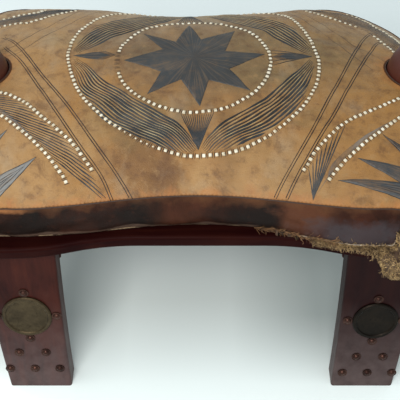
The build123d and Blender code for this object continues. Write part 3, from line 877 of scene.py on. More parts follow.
def makeCushion():
    shell, count, lowStart = makeShell()
    topCount = lowStart - (cushion["rows"] - 1) * count
    stuffShell(shell, lowStart)
    jute = clothFinish("jute", (0.30, 0.21, 0.12), (0.16, 0.105, 0.06), 420.0)
    seam = meshPoints(shell)[:count]
    top = cutOut(shell, "cushionTop", 0, topLeatherFinish())
    boxing = makeBoxing(shell, count, lowStart, topCount, sideLeatherFinish())
    for piece, strength in ((top, 1.0), (boxing, 1.2)):
        applyModifier(piece, "SUBSURF", levels=1, render_levels=1)
        wrinkle(piece, seam, strength)
    edge, flap = looseEdge(boxing), surfaceTree(boxing)
    seamThread(top, seam)
    base = cutOut(shell, "cushionBase", 2, jute)
    for piece, thickness in ((base, "cloth"), (top, "leather"), (boxing, "leather")):
        applyModifier(piece, "SOLIDIFY", thickness=cushion[thickness], offset=-1)
    filling = makeFilling(shell)
    bpy.data.objects.remove(shell)
    for piece, node, slot in ((top, "cushion_top", "top_leather"), (boxing, "cushion_boxing", "side_leather"),
                              (base, "cushion_base", "base_cloth"), (filling, "cushion_filling", "straw")):
        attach(piece, "cushion")
        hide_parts(node)
    print("cushion made", len(top.data.vertices), "points on top")
    return top, filling, edge, flap


def makeFilling(shell):
    filling = newObject("cushionFilling", meshPoints(shell), [tuple(f.vertices) for f in shell.data.polygons],
                        strawFinish("strawFill", (0.42, 0.27, 0.11), (0.10, 0.05, 0.02)))
    normals = np.array([tuple(v.normal) for v in filling.data.vertices])
    points = meshPoints(filling) - normals * cushion["fillingInset"]
    points[:, 2] = np.maximum(points[:, 2], cushion["floor"] + cushion["fillingFloor"])
    setPoints(filling, points)
    return filling


# loose straw: a roll under the torn edge, a tuft over the rail and wisps in the rip
strawSettings = {
    "voxel": 0.0026,
    "shrink": 0.0014,        # the core lies this far inside the built straw
    "lumps": 0.0016,
    "tuftStrands": 1700,
    "rollStrands": 1300,
    "ripStrands": 260,
    "apronStrands": 620,     # over the rail's edge
    "fringeStrands": 620,    # in the roll at the start of the tear
    "rollRadius": 0.0024,
    "frayStrands": 300,      # along the loose edge of the leather
    "tornFrom": 0.125,       # where the pale torn edge shows
    "steps": 6,
    "stride": 0.0024,
    "radius": 0.00034,
    "stand": 0.0026,         # how far strands stand off the core
    "tuftFrom": 0.210,       # where the roll turns into the tuft, along x
    "railGap": 0.0009,
    "railProbe": 0.004,      # below the rail's top, where its edge is read
    "flapGap": 0.0035,       # straw behind the loose leather
    "strayStrands": 46,      # off the tuft's lower edge
    "strayFrom": (0.236, 0.014, 0.004),   # along x, and in from the tuft's front and underside
    "straySpread": 0.011,
    "strayStride": 0.0019,
    "wispStride": 0.0021,
    "frayStride": 0.0011,
    "apronReach": (0.140, 0.205, 0.228),  # its start, where it gets longer, and its end
    "fringeShare": 0.52,     # of the loose edge
    "fraySpan": (0.30, 0.999),
    "ripHalf": 0.013,
    "ripFront": -0.19,
    "ripSpan": (0.002, 0.047),   # above the cushion's floor
    "seed": 8,
}
railLow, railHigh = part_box("rail_front")
tuftLow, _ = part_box("straw_tuft")
railPlaces = np.linspace(0.05, 0.30, 26)


def railEdges():
    # how far out the rail's front edge is, at the places above
    tree = surfaceTree(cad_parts["rail_front"])
    height = railHigh.z - strawSettings["railProbe"]
    found = [tree.ray_cast(Vector((x, -1, height)), Vector((0, 1, 0)))[0] for x in railPlaces]
    return np.array([hit.y if hit else railLow.y for hit in found])


railReach = railEdges()


def railEdge(x):
    return float(np.interp(x, railPlaces, railReach))


def merged(node, name):
    # one closed mesh from a built solid's loose triangles, in the shared frame
    work = bmesh.new()
    work.from_mesh(node.data)
    work.transform(node.matrix_world)
    bmesh.ops.remove_doubles(work, verts=work.verts, dist=1e-6)
    bmesh.ops.recalc_face_normals(work, faces=work.faces)
    mesh = bpy.data.meshes.new(name)
    work.to_mesh(mesh)
    work.free()
    made = bpy.data.objects.new(name, mesh)
    bpy.context.scene.collection.objects.link(made)
    return made


def clearOfRail(point, radius=0.0):
    # straw stays above the rail or in front of its edge
    front = railEdge(point.x) - strawSettings["railGap"] - radius
    above = cushion["floor"] + 0.0002 + radius
    if point.y > front and point.z < above:
        if above - point.z < point.y - front:
            point.z = above
        else:
            point.y = front
    return point


class Strands:
    # thin curled fibres with three sides, collected into one mesh
    def __init__(self):
        self.points, self.faces, self.tones = [], [], []

    def add(self, path, radius, tone):
        first = len(self.points)
        count = len(path)
        for i, point in enumerate(path):
            ahead = (path[min(i + 1, count - 1)] - path[max(i - 1, 0)]).normalized()
            side = ahead.orthogonal().normalized()
            up = ahead.cross(side)
            thick = radius * (0.45 if i in (0, count - 1) else 1.0)
            for k in range(3):
                a = 2 * math.pi * k / 3 + i * 0.4
                self.points.append(point + thick * (math.cos(a) * side + math.sin(a) * up))
                self.tones.append(tone)
        for i in range(count - 1):
            for k in range(3):
                m = (k + 1) % 3
                a, b = first + 3 * i, first + 3 * (i + 1)
                self.faces.append((a + k, a + m, b + m, b + k))
        last = first + 3 * (count - 1)
        self.faces += [(first + 2, first + 1, first), (last, last + 1, last + 2)]


def pickPlaces(piece, count, dice, wanted):
    # random places on a mesh, evenly by area, where wanted(point) holds
    mesh = piece.data
    mesh.calc_loop_triangles()
    triangles = [t for t in mesh.loop_triangles if wanted(t.center)]
    reach, total = [], 0.0
    for t in triangles:
        total += t.area
        reach.append(total)
    places = []
    for _ in range(count):
        chosen = triangles[min(int(np.searchsorted(reach, dice.random() * total)), len(triangles) - 1)]
        a, b, c = (mesh.vertices[i].co for i in chosen.vertices)
        u, v = sorted((dice.random(), dice.random()))
        places.append((a * u + b * (v - u) + c * (1 - v), chosen.normal.copy()))
    return places


def strandOver(tree, start, normal, heading, dice, stand):
    # a fibre that wanders over a surface, in and out of its neighbours
    values = strawSettings
    steps = values["steps"]
    path = []
    point = start.copy()
    heading = (heading - normal * heading.dot(normal)).normalized()
    turn = dice.uniform(-0.55, 0.55)
    phase = dice.uniform(0, 6.28)
    for i in range(steps):
        lift = stand * (0.35 + 0.65 * math.sin(phase + i * 1.3)) * (1.0 if i % (steps - 1) else 0.6)
        path.append(clearOfRail(point + normal * lift, values["radius"]))
        heading = (Matrix.Rotation(turn + dice.uniform(-0.35, 0.35), 3, normal) @ heading).normalized()
        step = point + heading * values["stride"] * dice.uniform(0.7, 1.3)
        point, normal, *_ = tree.find_nearest(step)
        heading = (heading - normal * heading.dot(normal)).normalized()
    return path


def underFlap(point, flap):
    # straw above the loose edge stays behind the leather
    hit = flap.ray_cast(Vector((point.x, -1, point.z)), Vector((0, 1, 0)))[0]
    if hit and point.x < tear["ripAt"] - 0.004:
        point.y = max(point.y, hit.y + strawSettings["flapGap"])
    return point


def looseEdge(boxing):
    # the boxing's lower edge along the tear, from the middle outwards
    run = ordered(boxing, np.array((0.15, -cushion["halfDepth"], cushion["floor"])))
    run = run[(run[:, 0] > tear["from"] - 0.012) & (run[:, 0] < tear["ripAt"] - 0.006) & (run[:, 1] < -0.1)]
    run = run[run[:, 2] < cushion["floor"] + 0.012]
    return run[np.argsort(run[:, 0])]


def scattered(dice, *spread):
    # a heading of three random parts, each a middle and a spread
    return Vector([dice.gauss(*part) for part in spread])


def wisp(strands, start, heading, dice, steps, stride, radius, tone, curl=0.35):
    heading = heading.normalized()
    path = [start]
    for _ in range(steps):
        heading = (heading + scattered(dice, *((0, curl),) * 3)).normalized()
        path.append(clearOfRail(path[-1] + heading * stride, radius))
    strands.add(path, radius, tone)


def makeTornEdge(edge):
    # the pale torn rim of the loose leather, uneven along its length
    values = strawSettings
    run = edge[edge[:, 0] > values["tornFrom"]]
    ragged = np.array([(0, noise.noise((x * 310, 3.0, 0)) * 0.0005, noise.noise((x * 420, 9.0, 0)) * 0.0007)
                       for x in run[:, 0]])
    made = tubeAlong("tornEdge", run + ragged - (0, 0.0004, 0), 0.0007, 6, tornFinish(), closed=False)
    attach(made, "cushion")


def tornFinish():
    made, tree, shader, coords = begin("leatherTorn", Roughness=0.8)
    stops = [(0.35, (0.08, 0.045, 0.028)), (0.52, (0.30, 0.24, 0.18)), (0.68, (0.50, 0.45, 0.37))]
    plug(tree, shader, Base_Color=ramp(tree, noiseOf(tree, coords, 260.0, 4, 0.7), stops))
    return made


def strawCore(flap):
    # the built tuft, shrunk a little and lumpy
    values = strawSettings
    core = merged(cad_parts["straw_tuft"], "strawTuft")
    applyModifier(core, "REMESH", mode="VOXEL", voxel_size=values["voxel"])
    for vertex in core.data.vertices:
        place = vertex.co.copy()
        lump = noise.fractal(place * 170, 0.8, 2.1, 3)
        moved = place + vertex.normal * (values["lumps"] * lump - values["shrink"])
        vertex.co = clearOfRail(underFlap(moved, flap), 0.0001)
    core.data.update()
    return core


def layTuft(strands, core, tree, dice):
    values = strawSettings
    hanging = lambda p: p.x > values["tuftFrom"] and p.y < railLow.y + 0.012
    lying = lambda p: p.z > cushion["floor"] + 0.001
    for place, normal in pickPlaces(core, values["tuftStrands"], dice, hanging):
        heading = scattered(dice, (0, 1.0), (0, 0.5), (-0.5, 1.0))
        path = strandOver(tree, place, normal, heading, dice, values["stand"] * dice.uniform(0.2, 1.1))
        strands.add(path, values["radius"] * dice.uniform(0.6, 1.15), dice.random())
    for place, normal in pickPlaces(core, values["rollStrands"], dice, lying):
        heading = scattered(dice, (1.1, 0.8), (0, 0.8), (0, 0.5))
        path = strandOver(tree, place, normal, heading, dice, values["stand"] * dice.uniform(0.1, 0.9))
        # towards the tear's start more of them are rusty
        strands.add(path, values["radius"] * dice.uniform(0.6, 1.1),
                    dice.random() * 0.95 + (place.x < dice.gauss(0.17, 0.03)))


def layRip(strands, filling, dice):
    values, floor = strawSettings, cushion["floor"]
    low, high = values["ripSpan"]
    inRip = lambda p: (abs(p.x - tear["ripAt"]) < values["ripHalf"] and p.y < values["ripFront"]
                       and floor + low < p.z < floor + high)
    tree = surfaceTree(filling)
    for place, normal in pickPlaces(filling, values["ripStrands"], dice, inRip):
        heading = Vector((dice.gauss(0, 0.7), 0, dice.gauss(0, 1.0)))
        down = 1 - (place.z - floor) / cushion["boxing"]
        stand = (0.003 + tear["push"] * down ** 2) * dice.uniform(0.2, 1.0)
        path = strandOver(tree, place, normal, heading, dice, stand)
        strands.add(path, values["radius"] * dice.uniform(0.7, 1.2), dice.random())


def layStrays(strands, tree, dice):
    # stray wisps off the tuft's lower edge
    values = strawSettings
    x, inwards, up = values["strayFrom"]
    for _ in range(values["strayStrands"]):
        at = Vector((x + dice.gauss(0, values["straySpread"]), tuftLow.y + inwards, tuftLow.z + up))
        near, normal, *_ = tree.find_nearest(at)
        heading = Vector((dice.gauss(0, 0.7), dice.uniform(-0.5, 0.1), dice.uniform(-1.0, -0.2))).normalized()
        path = [near + normal * 0.0005]
        for _ in range(4):
            heading = (heading + scattered(dice, (0, 0.35), (0, 0.2), (0, 0.3))).normalized()
            path.append(clearOfRail(path[-1] + heading * values["strayStride"], values["radius"]))
        strands.add(path, values["radius"] * 0.6, dice.random())


def layApron(strands, dice):
    # straw that has spilled over the rail's edge
    values = strawSettings
    first, longer, last = values["apronReach"]
    for _ in range(values["apronStrands"]):
        x = dice.uniform(first, last)
        out, up = dice.uniform(-0.002, 0.006), dice.uniform(0.0006, 0.004)
        heading = Vector((dice.gauss(0.1, 0.9), -1.0, dice.gauss(-0.6, 0.5)))
        wisp(strands, Vector((x, railEdge(x) + out, cushion["floor"] + up)), heading, dice,
             8 if x > longer else 5, values["wispStride"], values["radius"] * 0.9, dice.random() * 0.7)


def layEdge(strands, edge, dice):
    # a rusty roll at the tear's start, and frayed ends along the loose leather
    values = strawSettings
    for _ in range(values["fringeStrands"]):
        along = dice.random() ** 1.2 * values["fringeShare"]
        at = Vector(edge[int(len(edge) * along)])
        around = dice.uniform(0, 2 * math.pi)
        off = values["rollRadius"] * min(1.0, 0.25 + 5 * along) * dice.random() ** 0.5
        at += Vector((0, off * math.cos(around) - 0.0006, off * math.sin(around) - 0.0010))
        heading = Vector((1.0, dice.gauss(-0.05, 0.2), dice.gauss(-0.1, 0.25)))
        wisp(strands, at, heading, dice, 7, values["wispStride"], values["radius"] * 0.9,
             1 + dice.random() * 0.95, 0.22)
    for _ in range(values["frayStrands"]):
        at = Vector(edge[int(len(edge) * dice.uniform(*values["fraySpan"]))])
        heading = scattered(dice, (0.2, 0.8), (-0.5, 0.3), (-0.2, 0.5))
        wisp(strands, at + Vector((0, 0.0003, 0.0002)), heading, dice, 3, values["frayStride"],
             values["radius"] * 0.75, 0.55 + 0.44 * dice.random())


def makeStraw(filling, edge, flap):
    dice = random.Random(strawSettings["seed"])
    core = strawCore(flap)
    tree = surfaceTree(core)
    strands = Strands()
    layTuft(strands, core, tree, dice)
    layRip(strands, filling, dice)
    layStrays(strands, tree, dice)
    layApron(strands, dice)
    layEdge(strands, edge, dice)
    joinStrands(core, strands, strawFinish("strawLoose", (0.56, 0.375, 0.165), (0.052, 0.024, 0.009)))
    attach(core, "cushion")
    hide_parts("straw_tuft")
    print("straw laid", len(core.data.polygons), "faces")


def joinStrands(core, strands, finish):
    first = len(core.data.vertices)
    points = np.vstack([meshPoints(core), np.array([tuple(p) for p in strands.points])])
    faces = [tuple(f.vertices) for f in core.data.polygons]
    faces += [[first + i for i in face] for face in strands.faces]
    mesh = bpy.data.meshes.new("strawTuft")
    mesh.from_pydata([tuple(map(float, p)) for p in points], [], faces)
    mesh.polygons.foreach_set("use_smooth", [True] * len(mesh.polygons))
    mesh.materials.append(finish)
    tone = mesh.attributes.new("strandTone", "FLOAT", "POINT")
    tone.data.foreach_set("value", np.array([0.05] * first + strands.tones, np.float32))
    core.data = mesh


# drawing and lacing on the top: places are x and the run across the crown, in millimetres
crownRadius = 350.0
drawing = {
    "centre": (-5.0, 5.0),
    "innerRing": 100.0,
    "outerCentre": (-6.0, 6.5),
    "outerRing": 162.5,
    "outerPlaces": ((-4, -152), (-44, -145), (-79, -129), (-115, -101), (-149, -55), (-169, 6),
                    (-171, 38), (-166, 69), (-151, 108), (-129, 144), (-100, 168), (-60, 182),
                    (-4, 187), (58, 181), (102, 165), (125, 145), (140, 104), (150, 65),
                    (156, 27), (158, 3), (151, -38), (129, -84), (90, -124), (45, -147)),
    # angle in degrees and reach of each tip of the star, then of each valley
    "starTips": ((7, 94), (51.5, 89), (94.5, 90), (139, 90), (182, 91), (230.5, 91), (275, 91), (318.5, 95)),
    "starValleys": ((20, 44), (78, 45), (123, 44), (156, 45), (215, 51), (250.5, 48), (292.5, 50),
                    (331.5, 52)),
    # angle, reach of the tip, half width in degrees at the inner ring, share of the solid tip, its lines
    "wedges": ((3, 156, 9, 0.58, 5), (93, 155, 10, 0.25, 11), (175.5, 159, 10, 0.60, 0),
               (272.6, 152, 11, 0.25, 15)),
    # strokes side by side: the innermost, the way to the next, their gap and what they keep from the ring
    "bands": (
        {"inner": ((-160, 14), (-141, -6), (-122, -34), (-95, -56), (-72, -78), (-45, -97), (-21, -113),
                   (0, -143)),
         "way": (-0.72, -0.69), "lines": 12, "gap": 4.3, "keep": 7, "width": 2.5, "grow": (0.8, 1.8)},
        {"inner": ((146, 8), (134, -9), (117, -32), (90, -64), (64, -87), (33, -108), (14, -128), (5, -143)),
         "way": (0.69, -0.72), "lines": 12, "gap": 4.7, "keep": 6, "width": 2.7, "grow": (1.3, 1.05)},
        {"inner": ((-158, 24), (-140, 38), (-113, 64), (-92, 76), (-62, 100), (-36, 124), (-10, 152)),
         "way": (-0.69, 0.72), "lines": 9, "gap": 5.9, "keep": 1, "width": 3.9, "grow": (1.0, 1.3)},
        {"inner": ((147, 20), (134, 27), (112, 52), (88, 79), (56, 104), (28, 128), (0, 154)),
         "way": (0.69, 0.72), "lines": 9, "gap": 5.9, "keep": 1, "width": 3.3, "grow": (1.0, 1.2)},
    ),
    # pairs of lines from the pommels to the front seam, and fainter ones to the back
    "tooled": (
        ((-262, 53), (-236, 20), (-200, -43), (-168, -99), (-141, -141), (-115, -178), (-101, -206)),
        ((-269, 84), (-240, 49), (-205, -10), (-172, -62), (-143, -108), (-117, -147), (-92, -182),
         (-76, -206)),
        ((246, 107), (234, 87), (218, 54), (191, -8), (165, -65), (143, -112), (122, -150), (90, -206)),
        ((254, 80), (243, 63), (224, 25), (194, -37), (169, -91), (145, -133), (124, -170), (104, -208)),
    ),
    "faint": (
        ((-265, 47), (-249, 55), (-231, 80), (-208, 112), (-191, 142), (-172, 188)),
        ((-259, 31), (-239, 39), (-222, 62), (-198, 91), (-174, 122), (-148, 172)),
        ((228, -2), (222, 6), (205, 29), (186, 56), (163, 94), (143, 138), (126, 180)),
        ((248, 20), (241, 29), (222, 46), (201, 68), (174, 110), (155, 149), (140, 182)),
    ),
    "lineWidth": 0.95,
    "pairGap": 3.0,
    "pointLines": (-1.0, -0.55, -0.2, 0.25, 0.6, 1.0),   # shares of the half width of a corner's point
    "lowestShare": 0.86,     # of the boxing's height: nothing is drawn lower than that
    "steepest": 0.35,        # nor where the leather's normal rises less
    "plumbFrom": 0.6,        # metres up, where the plumb lines to the leather start
    "fadingSolid": 0.75,     # share of a wedge that its faint leaf covers, and how low that lies
    "lowLift": 0.00012,
    # strips of ink: how far the rims sink into the leather, and the flat share of the width
    "rimSunk": 0.0003,
    "flatShare": 0.7,
    # filled shapes: mesh size and thickness in metres, hatches around a root and their length in millimetres
    "fillSpacing": 0.0026,
    "fillThickness": 0.0005,
    "hatches": 26,
    "hatchLength": 60,
}
# the two rows of stitches of each corner, the strokes that fan out between them, and its inked points
# stretch and until are shares of the rows: the run of one stroke, and where the last one starts
# limit is the furthest place from the crown's middle line that a stroke between the rows reaches
corners = {
    "frontLeft": {
        "upper": ((-292, -43), (-272, -42), (-251, -45), (-241, -50), (-217, -67), (-194, -93),
                  (-169, -118), (-147, -141), (-124, -174)),
        "lower": ((-290, -62), (-268, -70), (-244, -88), (-220, -110), (-192, -139), (-165, -173),
                  (-153, -192)),
        "fanFrom": (-296, -50), "limit": 207, "stretch": 0.42, "gathered": False,
        "points": (((-232, -113), (-290, -190), 30), ((-192, -156), (-285, -235), 52)),
        "lines": 24, "slate": 0.62, "until": 0.80,
    },
    "frontRight": {
        "upper": ((292, -43), (272, -48), (251, -60), (227, -76), (187, -101), (157, -130), (141, -149),
                  (125, -175)),
        "lower": ((290, -64), (270, -76), (249, -92), (219, -119), (188, -149), (169, -168), (154, -187)),
        "fanFrom": (136, -209), "limit": 53, "stretch": 0.40, "gathered": True,
        "points": (((225, -120), (300, -195), 30), ((191, -157), (300, -200), 46),
                   ((166, -186), (300, -212), 42)),
        "lines": 25, "slate": 0.72, "until": 0.85,
    },
    "backLeft": {
        "upper": ((-300, 112), (-281, 123), (-263, 127), (-245, 127), (-234, 134), (-224, 143),
                  (-211, 159), (-198, 172), (-178, 187)),
        "lower": ((-300, 147), (-283, 156), (-265, 165), (-250, 170), (-239, 178), (-226, 197)),
        "fanFrom": (-302, 130), "limit": 203, "stretch": 0.5, "gathered": False,
        "points": (),
        "lines": 26, "slate": 0.95, "until": 0.9,
    },
    "backRight": {
        "upper": ((267, 48), (262, 66), (254, 82), (246, 98), (238, 114), (228, 125), (213, 131),
                  (200, 138), (188, 147), (178, 160), (168, 171), (158, 183)),
        "lower": ((286, 80), (283, 96), (280, 116), (276, 133), (266, 151), (257, 168), (249, 190),
                  (240, 205), (223, 211)),
        "upperGap": (0.30, 0.46),
        "fanFrom": (276, 62), "limit": 203, "stretch": 0.5, "gathered": False,
        "points": (),
        "lines": 26, "slate": 0.95, "until": 0.9,
    },
}
lacing = {
    "pitch": 7.8, "length": 3.8, "width": 4.3, "height": 1.5,
    "slitWidth": 1.3, "slitLength": 7.0, "slitAway": 2.8,
    "missing": {"laceOuter": (0, 0), "laceInner": (0.728, 0.786)},   # bare slits: shares of the way round
    "worn": (0.045, 0.088),  # share of the outer ring with stitches worn down
    "wornSize": 0.5,
    "bevel": 0.62,           # of a stitch's height
    "jitter": 0.35, "shift": 0.3, "lean": 0.5, "seed": 21,
    "sizes": (-0.1, 0.08), "sunk": 0.0002, "uneven": 0.0001,
}


def onTop(tree, x, across, lift=0.0):
    # the leather's surface under a place of the drawing
    y = crownRadius * math.sin(across / crownRadius)
    above = Vector((x / 1000, y / 1000, drawing["plumbFrom"]))
    place, normal = tree.ray_cast(above, Vector((0, 0, -1)))[:2]
    lowest = cushion["floor"] + cushion["boxing"] * drawing["lowestShare"]
    if place is None or place.z < lowest or normal.z < drawing["steepest"]:
        return None
    return place + normal * lift, normal


def curved(points, step=2.6):
    # evenly spaced points on a smooth line through a few
    ends = [2 * np.array(points[0], float) - points[1], 2 * np.array(points[-1], float) - points[-2]]
    knots = [ends[0]] + [np.array(p, float) for p in points] + [ends[1]]
    line = []
    for a, b, c, d in zip(knots, knots[1:], knots[2:], knots[3:]):
        for t in np.linspace(0, 1, max(2, int(np.linalg.norm(c - b) / step) + 1), endpoint=False):
            line.append(0.5 * (2 * b + (c - a) * t + (2 * a - 5 * b + 4 * c - d) * t ** 2
                               + (3 * b - a - 3 * c + d) * t ** 3))
    return line + [knots[-2]]


def closedCurve(points, step=2.6):
    around = list(points[-2:]) + list(points) + list(points[:3])
    line = curved(around, step)
    start = min(range(len(line) // 3), key=lambda i: np.linalg.norm(line[i] - points[0]))
    end = min(range(2 * len(line) // 3, len(line)), key=lambda i: np.linalg.norm(line[i] - points[0]))
    return line[start:end + 1]


def polar(centre, angle, reach):
    a = math.radians(angle)
    return centre[0] + reach * math.cos(a), centre[1] + reach * math.sin(a)


def leftOf(heading):
    return np.array((-heading[1], heading[0]))


class Strokes:
    # thin closed strips that lie on the leather, collected into one mesh
    def __init__(self, tree):
        self.tree, self.points, self.faces = tree, [], []

    def add(self, line, width, height=0.00016, taper=0.25, wobble=0.0, seed=0.0, grow=(1, 1)):
        # a strip along each run of places that lie on the leather
        run = []
        for found in [onTop(self.tree, *place) for place in line] + [None]:
            if found:
                run.append(found)
                continue
            if len(run) > 2:
                self.lay(run, width, height, taper, wobble, seed, grow)
            run = []

    def lay(self, run, width, height, taper, wobble, seed, grow):
        count = len(run)
        first = len(self.points)
        sunk, flat = drawing["rimSunk"], drawing["flatShare"]
        for i, (point, normal) in enumerate(run):
            ahead = run[min(i + 1, count - 1)][0] - run[max(i - 1, 0)][0]
            side = ahead.cross(normal).normalized()
            share = i / (count - 1)
            narrow = min(1.0, taper + (1 - taper) * 5 * min(share, 1 - share))
            ragged = 1 + wobble * noise.noise(Vector((share * 9, seed, 0.5)))
            half = width / 2000 * narrow * ragged * (grow[0] + (grow[1] - grow[0]) * share)
            for across, up in ((-1, -sunk), (-flat, height), (flat, height), (1, -sunk)):
                self.points.append(point + side * across * half + normal * up)
        for i in range(count - 1):
            a, b = first + 4 * i, first + 4 * (i + 1)
            for k in range(4):
                m = (k + 1) % 4
                self.faces.append((a + k, b + k, b + m, a + m))
        self.faces += [(first, first + 1, first + 2, first + 3)]
        last = first + 4 * (count - 1)
        self.faces += [(last + 3, last + 2, last + 1, last)]

    def piece(self, name, finish):
        made = newObject(name, self.points, self.faces, finish)
        tidyNormals(made)
        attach(made, "cushion")
        return made


def tidyNormals(piece):
    work = bmesh.new()
    work.from_mesh(piece.data)
    bmesh.ops.recalc_face_normals(work, faces=work.faces)
    work.to_mesh(piece.data)
    work.free()


def inlay(name, tree, loops, finish, lift=0.00022):
    # filled shapes of ink: loops of places, each with the place its hatching runs from
    points, faces, streaks = [], [], []
    for loop, origin in loops:
        plan, triangles = panel(np.array(loop) / 1000, drawing["fillSpacing"])
        place = {}
        for i, (x, y) in enumerate(plan):
            hit = onTop(tree, x * 1000, y * 1000, lift)
            if hit:
                place[i] = len(points)
                points.append(hit[0])
                away = plan[i] * 1000 - origin
                reach = float(np.hypot(*away)) or 1.0
                streaks.append((*(drawing["hatches"] * away / reach), reach / drawing["hatchLength"]))
        faces += [[place[i] for i in t] for t in triangles if all(i in place for i in t)]
    made = newObject(name, points, faces, finish)
    stored = made.data.attributes.new("streak", "FLOAT_VECTOR", "POINT")
    stored.data.foreach_set("vector", np.array(streaks, np.float32).ravel())
    if np.mean([f.normal.z for f in made.data.polygons]) < 0:
        made.data.flip_normals()
    applyModifier(made, "SOLIDIFY", thickness=drawing["fillThickness"], offset=-1)
    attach(made, "cushion")
    return made


def straightRun(a, b, step=2.4):
    count = max(2, int(math.dist(a, b) / step))
    return [tuple(np.array(a) + (np.array(b) - a) * t) for t in np.linspace(0, 1, count, endpoint=False)]


def closedRun(knots):
    return [p for a, b in zip(knots, knots[1:] + knots[:1]) for p in straightRun(a, b)]


def starLoop():
    knots = sorted(drawing["starTips"] + drawing["starValleys"])
    return closedRun([polar(drawing["centre"], *knot) for knot in knots])


def wedgeLoop(angle, tip, half, solid):
    # the solid tip, a leaf that ends on the way to the inner ring
    end = np.array(polar(drawing["outerCentre"], angle, tip))
    left, root, right = [np.array(polar(drawing["centre"], angle + turn, drawing["innerRing"]))
                         for turn in (half, 0, -half)]

    def at(edge, share, aside):
        return tuple(end + (root + (edge - root) * aside - end) * share)

    broad, narrow = (0.6 * solid, 1.0), (0.92 * solid, 0.8)
    return closedRun([tuple(end), at(left, *broad), at(left, *narrow), at(root, min(0.97, 1.4 * solid), 0),
                      at(right, *narrow), at(right, *broad)])


def bandLines(band, first, count):
    # evenly spread strokes of a band, starting with the given one
    inner = [np.array(p) for p in curved(band["inner"], 3.0)]
    centre = np.array(drawing["outerCentre"])
    way = np.array(band["way"])
    for step in range(count):
        k = first + step
        line = []
        for i, place in enumerate(inner):
            t = i / (len(inner) - 1)
            spread = 0.35 + 0.65 * math.sin(math.pi * t) ** 0.6
            wave = 0.7 * math.sin(t * 17 + 0.55 * k)
            moved = place + way * (k * band["gap"] * spread + wave)
            if np.hypot(*(moved - centre)) < drawing["outerRing"] - band["keep"] - 1.5 * math.sin(k * 2.1):
                line.append(tuple(moved))
            elif len(line) > 5:
                break
            else:
                line = []
        if len(line) > 5:
            yield line


def lineWidthAt(luck):
    return drawing["lineWidth"] * (0.85 + 0.5 * luck)


def laceSides(corner):
    # the two rows of a corner, both from the end where its strokes start
    upper, lower = curved(corner["upper"], 2.0), curved(corner["lower"], 2.0)
    if math.dist(upper[0], corner["fanFrom"]) > math.dist(upper[-1], corner["fanFrom"]):
        upper, lower = upper[::-1], lower[::-1]

    def along(row):
        places, steps = np.array(row), np.linspace(0, 1, len(row))
        return lambda share: np.array([np.interp(share, steps, places[:, i]) for i in (0, 1)])

    return along(upper), along(lower)


def fanLines(corner):
    # strokes that leave the lower row one after another and cross to the upper row
    upper, lower = laceSides(corner)

    def between(along, across):
        # past the end of the rows both go straight on
        ahead = max(along - 1, 0) / 0.1
        low = lower(min(along, 1)) + ahead * (lower(1) - lower(0.9))
        high = upper(min(along, 1)) + ahead * (upper(1) - upper(0.9))
        return low + across * (high - low)

    stretch = corner["stretch"]
    furthest = 1.0 if corner["gathered"] else 1.32
    for k in range(corner["lines"]):
        first = (k + 0.5) / corner["lines"] * (corner["until"] + stretch) - stretch + 0.01
        if first < 0 and corner["gathered"]:
            start, end = np.array(corner["fanFrom"], float), between(first + stretch, 0.9)
            line = [tuple(start + (end - start) * t) for t in np.linspace(0, 1, 8)]
        else:
            steps = [t for t in np.linspace(0, 1, 16) if 0 <= first + stretch * t <= furthest]
            line = [tuple(between(first + stretch * t, 0.08 + 0.82 * t ** 1.25)) for t in steps]
            line = [point for point in line if abs(point[1]) <= corner["limit"]]
        if len(line) > 2:
            yield curved(line, 3.0)


def slateLoop(corner):
    # the filled part between the lower row and the strokes, broad where the strokes start
    upper, lower = laceSides(corner)
    shares = np.linspace(0.03, corner["slate"], 16)
    near = [lower(s) + 0.07 * (upper(s) - lower(s)) for s in shares]
    depth = [0.07 + 0.24 * (1 - s / corner["slate"]) ** 0.7 * smooth(s / 0.12) for s in shares]
    far = [lower(s) + d * (upper(s) - lower(s)) for s, d in zip(shares, depth)]
    return closedRun([corner["fanFrom"]] + [tuple(p) for p in near + far[-2::-1]])


def pairLines(middle, gap):
    line = [np.array(p) for p in curved(middle, 4.0)]
    for side in (-0.5, 0.5):
        made = []
        for i, point in enumerate(line):
            ahead = line[min(i + 1, len(line) - 1)] - line[max(i - 1, 0)]
            made.append(tuple(point + side * gap * (leftOf(ahead) / np.linalg.norm(ahead))))
        yield made


# ink, how far it is worn, hatched or not, and the least wear
inkLooks = {
    "inkFilled": ("star", 0.25, True, 0.0),
    "inkSlate": ("slate", 0.7, True, 0.3),
    "inkPoints": ("points", 0.2, True, 0.0),
    "inkLines": ("black", 0.2, False, 0.0),
    "inkTooled": ("brown", 0.2, False, 0.0),
    "inkFaint": ("brown", 0.85, False, 0.35),
}
inkTones = {"black": (0.008, 0.008, 0.009), "blue": (0.034, 0.039, 0.043), "brown": (0.016, 0.007, 0.004),
            "star": (0.028, 0.029, 0.029), "slate": (0.15, 0.152, 0.148), "points": (0.060, 0.063, 0.066)}


